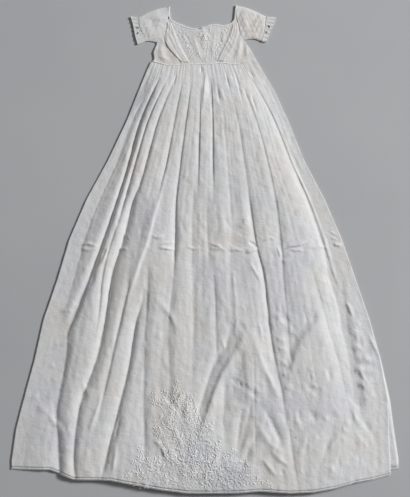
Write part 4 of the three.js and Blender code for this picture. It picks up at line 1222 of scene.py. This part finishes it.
seam_cords = []
for name, inwards in (("left_inner", 1), ("right_inner", -1)):
    top = neck_inside(neck_share(front_seams[name][0]), casing_width + seam_gap + 0.6)
    waist = front_seams[name][1]
    bottom = (waist, waist_at("front", waist) - piping_width / 2 - 0.9)
    seam_cords.append(straight(top, bottom)(np.linspace(0, 1, 40)))
cord_paths = on_surface(np.array(seam_cords), bodice_surface, 0.1)
bodice_work = joined(
    whitework(bodice_stems, bodice_eyelets, bodice_dots, bodice_surface, bodice_scale),
    threads(cord_paths, seam_cord_width, seam_cord_rise, 6),
)
make_piece("bodice_whitework", *bodice_work, satin_cotton, slot="cotton_trim")

# Robings
# Two strips of lawn with three pin tucks each lie over the outer seams of the bands, from the
# neckline to the waist. Their inner edge is sewn down, and their outer one stands a little free.
robings = {
    "left": {
        "outer": [(-80, 37), (-81.5, 50), (-86, 64.5), (-77, 88), (-50, 120)],
        "inner": [(-71, 39), (-62, 58), (-50, 89), (-33, 121)],
    },
    "right": {
        "outer": [(68.5, 37.5), (71.5, 58), (57, 91), (39, 118.5)],
        "inner": [(57.5, 42.5), (53, 58), (38, 90), (25, 118)],
    },
}
tuck_count = 3
tuck_height = 0.3
robing_lift = 0.9
robing_crease = 0.4
sewn_in = 0.8  # how far the stitches pull an edge down


def robing(name, mirrored, columns=49, rows=81):
    """A strip between its edges, on the bodice below it, with |sin| ** 4 ridges for the tucks. It is
    sewn down along its inner edge and at the top of its outer one, which lifts further down by
    exp(-9 * share from it)."""
    outer, inner = plan_curve(robings[name]["outer"]), plan_curve(robings[name]["inner"])
    u, v = np.broadcast_arrays(np.linspace(0, 1, columns)[None, :], np.linspace(0, 1, rows)[:, None])
    from_outer = 1 - u if mirrored else u
    places = outer(v) * (1 - from_outer[..., None]) + inner(v) * from_outer[..., None]
    across, down = places[..., 0], places[..., 1]
    tucks = tuck_height * np.abs(np.sin(np.pi * tuck_count * from_outer)) ** 4
    lift = robing_lift * np.exp(-9 * from_outer) * np.sin(np.pi * np.clip(v, 0.05, 0.95))
    lift = lift * smooth_step(v, 0.2, 0.6) * (1 + 0.3 * np.sin(13 * v))
    creases = robing_crease * waves(across, down, 91, 14)
    inner_seam = sewn_in * smooth_step(from_outer, 0.78, 1)
    outer_top = sewn_in * (1 - smooth_step(from_outer, 0, 0.22)) * (1 - smooth_step(v, 0.25, 0.55))
    sewn_down = inner_seam + outer_top
    level = bodice_surface(across, down) + seam_gap + cloth - sewn_down + tucks + lift
    upper = lay(across, down, level + creases * np.minimum(1, 4 * (1 - from_outer)))
    points, faces = thin_shell(upper, upper - (0, 0, cloth))
    label = f"robing_{name}"
    return make_piece(label, points, faces, bodice_lawn, [label], flat_uv=points[:, :2] * MM)


robing_pieces = [robing("left", False), robing("right", True)]

# What shows of each robing, laid flat: width and length, and area in square metres.
robing_cuts = [("left", (0.028, 0.092), 0.0025), ("right", (0.024, 0.086), 0.0020)]
for piece, (name, cut, area) in zip(robing_pieces, robing_cuts):
    below = [f"bodice_side_{name}", f"bodice_band_{name}"]

# Neck casing and drawstring
# A narrow casing of doubled lawn runs round the neckline and is shirred on a tape, whose knot sits at
# the middle of the front.
casing_level, casing_height = 1.5, 2.3
pucker_pitch = 3.6
knot = {"across": -6.5, "down": 48.0, "width": 6.5, "height": 4.4, "depth": 3.0}
tape_width, tape_height = 1.3, 1.2


def casing(level, height, stations=420):
    """A band along the neckline with small puckers 3.6 mm apart, uneven in height."""
    share = np.linspace(0, 1, stations)
    middle = neck_inside(share, casing_width / 2)
    length = np.concatenate([[0], np.cumsum(np.linalg.norm(np.diff(middle, axis=0), axis=1))])
    pucker = np.sin(2 * np.pi * length / pucker_pitch + 1.3 * waves(length, 0 * length, 95, 40))
    path = lay(middle[:, 0], middle[:, 1], level + height / 2)
    return threads(path[None], casing_width * (1 + 0.06 * pucker), height * (0.93 + 0.1 * pucker), 12)


# Casing: the lawn doubled, which hides what lies below it and so looks paler than one layer.
casing_white, casing_cool, casing_warm = "#F0EFED", "#E6E6EA", "#ECE8E2"
casing_cotton = cotton("doubled_lawn_casing", casing_white, casing_cool, casing_warm, uv="")
for side, level, height in (("front", casing_level, casing_height), ("back", 0.0, back_level)):
    name = f"neck_casing_{side}"
    make_piece(name, *casing(level, height), casing_cotton, [name], "cotton_trim")

# The knot's tape runs as a trefoil: twice round, in and out by (1 + loop * cos(3 * turn)), and up and
# down by sin(3 * turn).
loop = 0.42
turn = np.linspace(0, 2 * np.pi, 61)
bend = 1 + loop * np.cos(3 * turn)
knot_middle = casing_level + casing_height + seam_gap + knot["depth"] / 2
knot_path = lay(
    knot["across"] + 0.5 * (knot["width"] - tape_width) * bend * np.cos(2 * turn) / (1 + loop),
    knot["down"] + 0.5 * (knot["height"] - tape_width) * bend * np.sin(2 * turn) / (1 + loop),
    knot_middle + 0.5 * (knot["depth"] - tape_width) * np.sin(3 * turn),
)

# Tape: a narrow plain weave of thicker cotton, matt and slightly cream.
tape_white, tape_cool, tape_warm = "#F4F2EE", "#E8E8EB", "#EDE8E0"
tape_cotton = cotton("narrow_cotton_tape", tape_white, tape_cool, tape_warm, uv="")
knot_tape = threads(knot_path[None], tape_width, tape_height, 8)
make_piece("neck_tie_knot", *knot_tape, tape_cotton, ["neck_tie_knot"], "cotton_trim")

# Sleeves
# A short sleeve is one piece of lawn sewn into a tube, set into the armhole with a little fullness,
# and turned in at the cuff with a row of stitches. It lies flattened, its two layers together.
sleeve_depth = 3.5
sleeve_loft = 2.2
sleeve_length = 45
sleeve_gathers = 8
cuff_stitches = 0.85  # their place as a share of the sleeve's length

# The borders of each sleeve and the edge of its frill, as places across and down, and the frill's
# holes: shares along and out, length, width, and turn in radians.
sleeves = {
    "left": {
        "armhole": [
            (-76.6, 5.4), (-76.2, 22), (-78.4, 31), (-81.6, 39), (-82.0, 52), (-88.0, 66), (-101.3, 79.6),
        ],
        "upper": [(-76.6, 5.4), (-92, 7), (-117, 15.5), (-140, 27)],
        "lower": [(-101.3, 79.6), (-112, 77), (-124, 76.8)],
        "cuff": [(-140, 27), (-137, 50), (-129, 64), (-124, 76.8)],
        "frill": [(-157, 24.5), (-151.5, 42), (-148, 60), (-146, 70), (-141.5, 84)],
        "holes": [(0.42, 0.42, 8.2, 4.4, 0.1), (0.62, 0.6, 4.4, 4.2, 0)],
        "seed": 4,
    },
    "right": {
        "armhole": [(65.8, 2.4), (64.5, 20), (66.2, 30), (68.9, 38), (73.0, 56), (77.0, 68), (82.2, 74.6)],
        "upper": [(65.8, 2.4), (82, 5), (106, 14), (129, 25.5)],
        "lower": [(82.2, 74.6), (95, 72), (106, 72.6), (119, 77)],
        "cuff": [(129, 25.5), (127, 42), (124.5, 59), (119, 77)],
        "frill": [(149, 26.5), (145.5, 40.5), (138, 54), (135, 64), (129, 79)],
        "holes": [(0.4, 0.46, 6.4, 7.4, -0.3), (0.62, 0.36, 4.4, 4.2, 0)],
        "seed": 5,
    },
}


def sleeve(name, rows=45, columns=96):
    """A flattened tube: round its ring the half depth is sqrt(1 - side ** 6). The upper layer has a
    loft of (1 - side ** 2), which falls towards the cuff, with soft wrinkles, small crumples, gathers
    at the armhole and a turned-in cuff."""
    cut = sleeves[name]
    plan = patch(*(plan_curve(cut[key]) for key in ("armhole", "cuff", "upper", "lower")))
    s = np.linspace(seam_gap / sleeve_length, 1 - seam_gap / sleeve_length, rows)[:, None]
    turn = np.linspace(0, 2 * np.pi, columns + 1)[None, :-1]
    side, over = -np.cos(turn), np.where(np.sin(turn) >= 0, 1.0, -1.0)
    width = np.linalg.norm(plan(s, 0.0 * s) - plan(s, 0.0 * s + 1), axis=-1)
    shells = []
    for inset in (0, cloth):
        places = plan(s, 0.5 + side * (0.5 - inset / width))
        across, down = places[..., 0], places[..., 1]
        rise = over * np.sqrt(np.maximum(1 - side**6, 0)) * (sleeve_depth / 2 - inset)
        wrinkle = 1 - 0.25 * (1 - np.cos(9 * s + 5 * side))
        loft = sleeve_loft * (1 - side**2) * wrinkle * (1 - 0.92 * s * s)
        loft = loft * (0.1 + 0.9 * smooth_step(s, 0, 0.35))
        gathers = 0.25 * np.cos(2 * np.pi * sleeve_gathers * side + 1.5 * s) * np.exp(-s / 0.22)
        wide = 1.1 * waves(across, down, 131 + cut["seed"], 40, 7)
        soft = (wide + 0.5 * waves(across, down, 141 + cut["seed"], 19, 9)) * np.sin(np.pi * s) ** 0.5
        crumpled = waves(0.55 * across, 1.3 * down, 151 + cut["seed"], 10, 12)
        crumpled = crumpled * np.sin(np.pi * np.clip(s, 0, 0.9) / 0.9) ** 0.5
        radial = 0.12 * np.sin(2 * np.pi * (2.6 * side + 0.5 * s) + 0.8)
        radial = radial * np.sin(np.pi * np.clip(s, 0, 0.8) / 0.8)
        stitched = 0.3 * np.exp(-(((s - cuff_stitches) / 0.012) ** 2))
        turned = 0.15 * smooth_step(s, 0.84, 0.86) - stitched - 0.3 * smooth_step(s, 0.93, 1)
        top = (loft + (gathers + soft + crumpled + radial + turned) * (1 - side**2) ** 0.7) * (over > 0)
        shells.append(lay(across, down, np.maximum(sleeve_depth / 2 + rise + top, inset)))
    outer, inner = shells
    index = np.arange(rows * columns).reshape(rows, columns)
    wrapped = np.roll(index, -1, axis=1)
    sheet = np.stack([index[:-1], index[1:], wrapped[1:], wrapped[:-1]], -1).reshape(-1, 4)
    offset = rows * columns
    head = np.stack([index[0], wrapped[0], wrapped[0] + offset, index[0] + offset], -1)
    end = np.stack([index[-1], index[-1] + offset, wrapped[-1] + offset, wrapped[-1]], -1)
    faces = np.concatenate([sheet, sheet[:, ::-1] + offset, head, end])
    if name == "right":
        faces = faces[:, ::-1]
    points = np.concatenate([outer.reshape(-1, 3), inner.reshape(-1, 3)])
    label = f"sleeve_{name}"
    return make_piece(label, points, faces.tolist(), bodice_lawn, [label], flat_uv=points[:, :2] * MM)


for piece in [sleeve("left"), sleeve("right")]:
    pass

# Cuff frills
# Each sleeve ends in a gathered frill of finer lawn, 16 mm wide, with a scalloped and bound edge and
# two worked holes in its upper layer, bound with buttonhole stitch.
frill_width = 16
frill_waves = 7
frill_wave_height = 0.8
frill_pleats = 24
scallop_count = 13
scallop_depth = 1.0
frill_cloth = 0.75 * cloth
hole_cut = 0.7  # share of a hole's radius within which no cloth is kept
binding_width, binding_height = 0.9, 0.8


def work_hole(upper, keep, centre, length, width, turned):
    """Works one elliptic hole into a grid of points: the nearest points move onto its rim, and keep
    loses those inside. Returns the rim's path, on the cloth."""
    axis = np.array([[np.cos(turned), np.sin(turned)], [-np.sin(turned), np.cos(turned)]])
    local = ((upper[..., :2] - centre) @ axis.T) / (length / 2, width / 2)
    distance = np.linalg.norm(local, axis=-1, keepdims=True)
    near = (distance[..., 0] > hole_cut) & (distance[..., 0] < 2 - hole_cut)
    pushed = local / np.maximum(distance, 1e-6) * (length / 2, width / 2) @ axis + centre
    upper[..., :2] = np.where(near[..., None], pushed, upper[..., :2])
    keep &= distance[..., 0] > hole_cut
    turn = np.linspace(0, 2 * np.pi, 33)
    rim = np.stack([np.cos(turn), np.sin(turn)], -1) * (length / 2 + 0.3, width / 2 + 0.3) @ axis + centre
    gaps = np.linalg.norm(upper[None, ..., :2] - rim[:, None, None], axis=-1)
    nearest = gaps.reshape(len(rim), -1).argmin(1)
    return np.concatenate([rim, upper.reshape(-1, 3)[nearest, 2:] + 0.1], 1)


def pierced_shell(upper, keep, thickness):
    """A closed shell of the grid's quads whose corners are all kept: a border edge belongs to one quad
    alone, and each gets a wall."""
    quads = grid_faces(*keep.shape)
    quads = quads[keep.ravel()[quads].all(1)]
    used, quads = np.unique(quads, return_inverse=True)
    quads = quads.reshape(-1, 4)
    top = upper.reshape(-1, 3)[used]
    offset = len(top)
    borders = {}
    for first, second in np.concatenate([quads[:, [k, (k + 1) % 4]] for k in range(4)]).tolist():
        if (second, first) in borders:
            del borders[(second, first)]
        else:
            borders[(first, second)] = True
    walls = [[second, first, first + offset, second + offset] for first, second in borders]
    faces = quads.tolist() + (quads[:, ::-1] + offset).tolist() + walls
    return np.concatenate([top, top - (0, 0, thickness)]), faces


def frill(name, layer, rows=181, columns=25):
    """A strip from the cuff line to its edge, which is scalloped by |sin| of its length. The upper layer
    waves by half of 1 - cos, more towards its edge, and has the worked holes."""
    cut, raised = sleeves[name], layer == "front"
    mirrored = name == "right"
    line, edge = plan_curve(cut["cuff"]), plan_curve(cut["frill"])
    v, out = np.broadcast_arrays(np.linspace(0, 1, rows)[:, None], np.linspace(0, 1, columns)[None, :])
    scallops = 1 - np.abs(np.sin(np.pi * scallop_count * v)) ** 0.7
    out_edge = out * (1 - scallop_depth / frill_width * scallops * out**3)
    places = line(v) * (1 - out_edge[..., None]) + edge(v) * out_edge[..., None]
    across = places[..., 0] + (1 if mirrored else -1) * 0.1 * (1 - out)
    down = places[..., 1]
    level = back_level + 0 * v
    if raised:
        wave = 0.5 - 0.5 * np.cos(2 * np.pi * frill_waves * v + 0.9 * np.sin(5 * v))
        pleats = 0.5 * np.cos(2 * np.pi * frill_pleats * v + 2 * np.sin(9 * v)) * np.exp(-out / 0.3)
        level = front_level + seam_gap + 0.7 * np.exp(-out / 0.25)
        level = level + frill_wave_height * wave * (0.4 + 0.8 * out) + pleats
    bound = 0.35 * np.exp(-(((1 - out) / 0.06) ** 2))
    upper = lay(across, down, level + bound * raised)
    keep = np.ones(upper.shape[:2], bool)
    bindings = []
    for along, share, length, width, turned in cut["holes"] if raised else []:
        middle = line(np.array(along)) * (1 - share) + edge(np.array(along)) * share
        centre = lay(middle[0], middle[1], 0.0)[:2]
        bindings.append(work_hole(upper, keep, centre, length, width, turned))
    points, faces = pierced_shell(upper, keep, frill_cloth if raised else back_level)
    if not mirrored:
        faces = [face[::-1] for face in faces]
    if bindings:
        bound_rims = threads(np.array(bindings), binding_width, binding_height, 6)
        points, faces = joined((points, faces), bound_rims)
    label = f"cuff_frill_{name}_{layer}"
    return make_piece(label, points, faces, frill_lawn, [label], "cotton_trim")


# Muslin: finer and more open than the lawn, so it looks a little greyer where it lies on the table.
frill_white, frill_cool, frill_warm = "#E9E9E8", "#DEDEE3", "#E4E1DC"
frill_lawn = cotton("fine_cotton_muslin", frill_white, frill_cool, frill_warm, uv="", crinkle=0.7)
frill_pieces = [frill(name, layer) for name in ("left", "right") for layer in ("front", "back")]
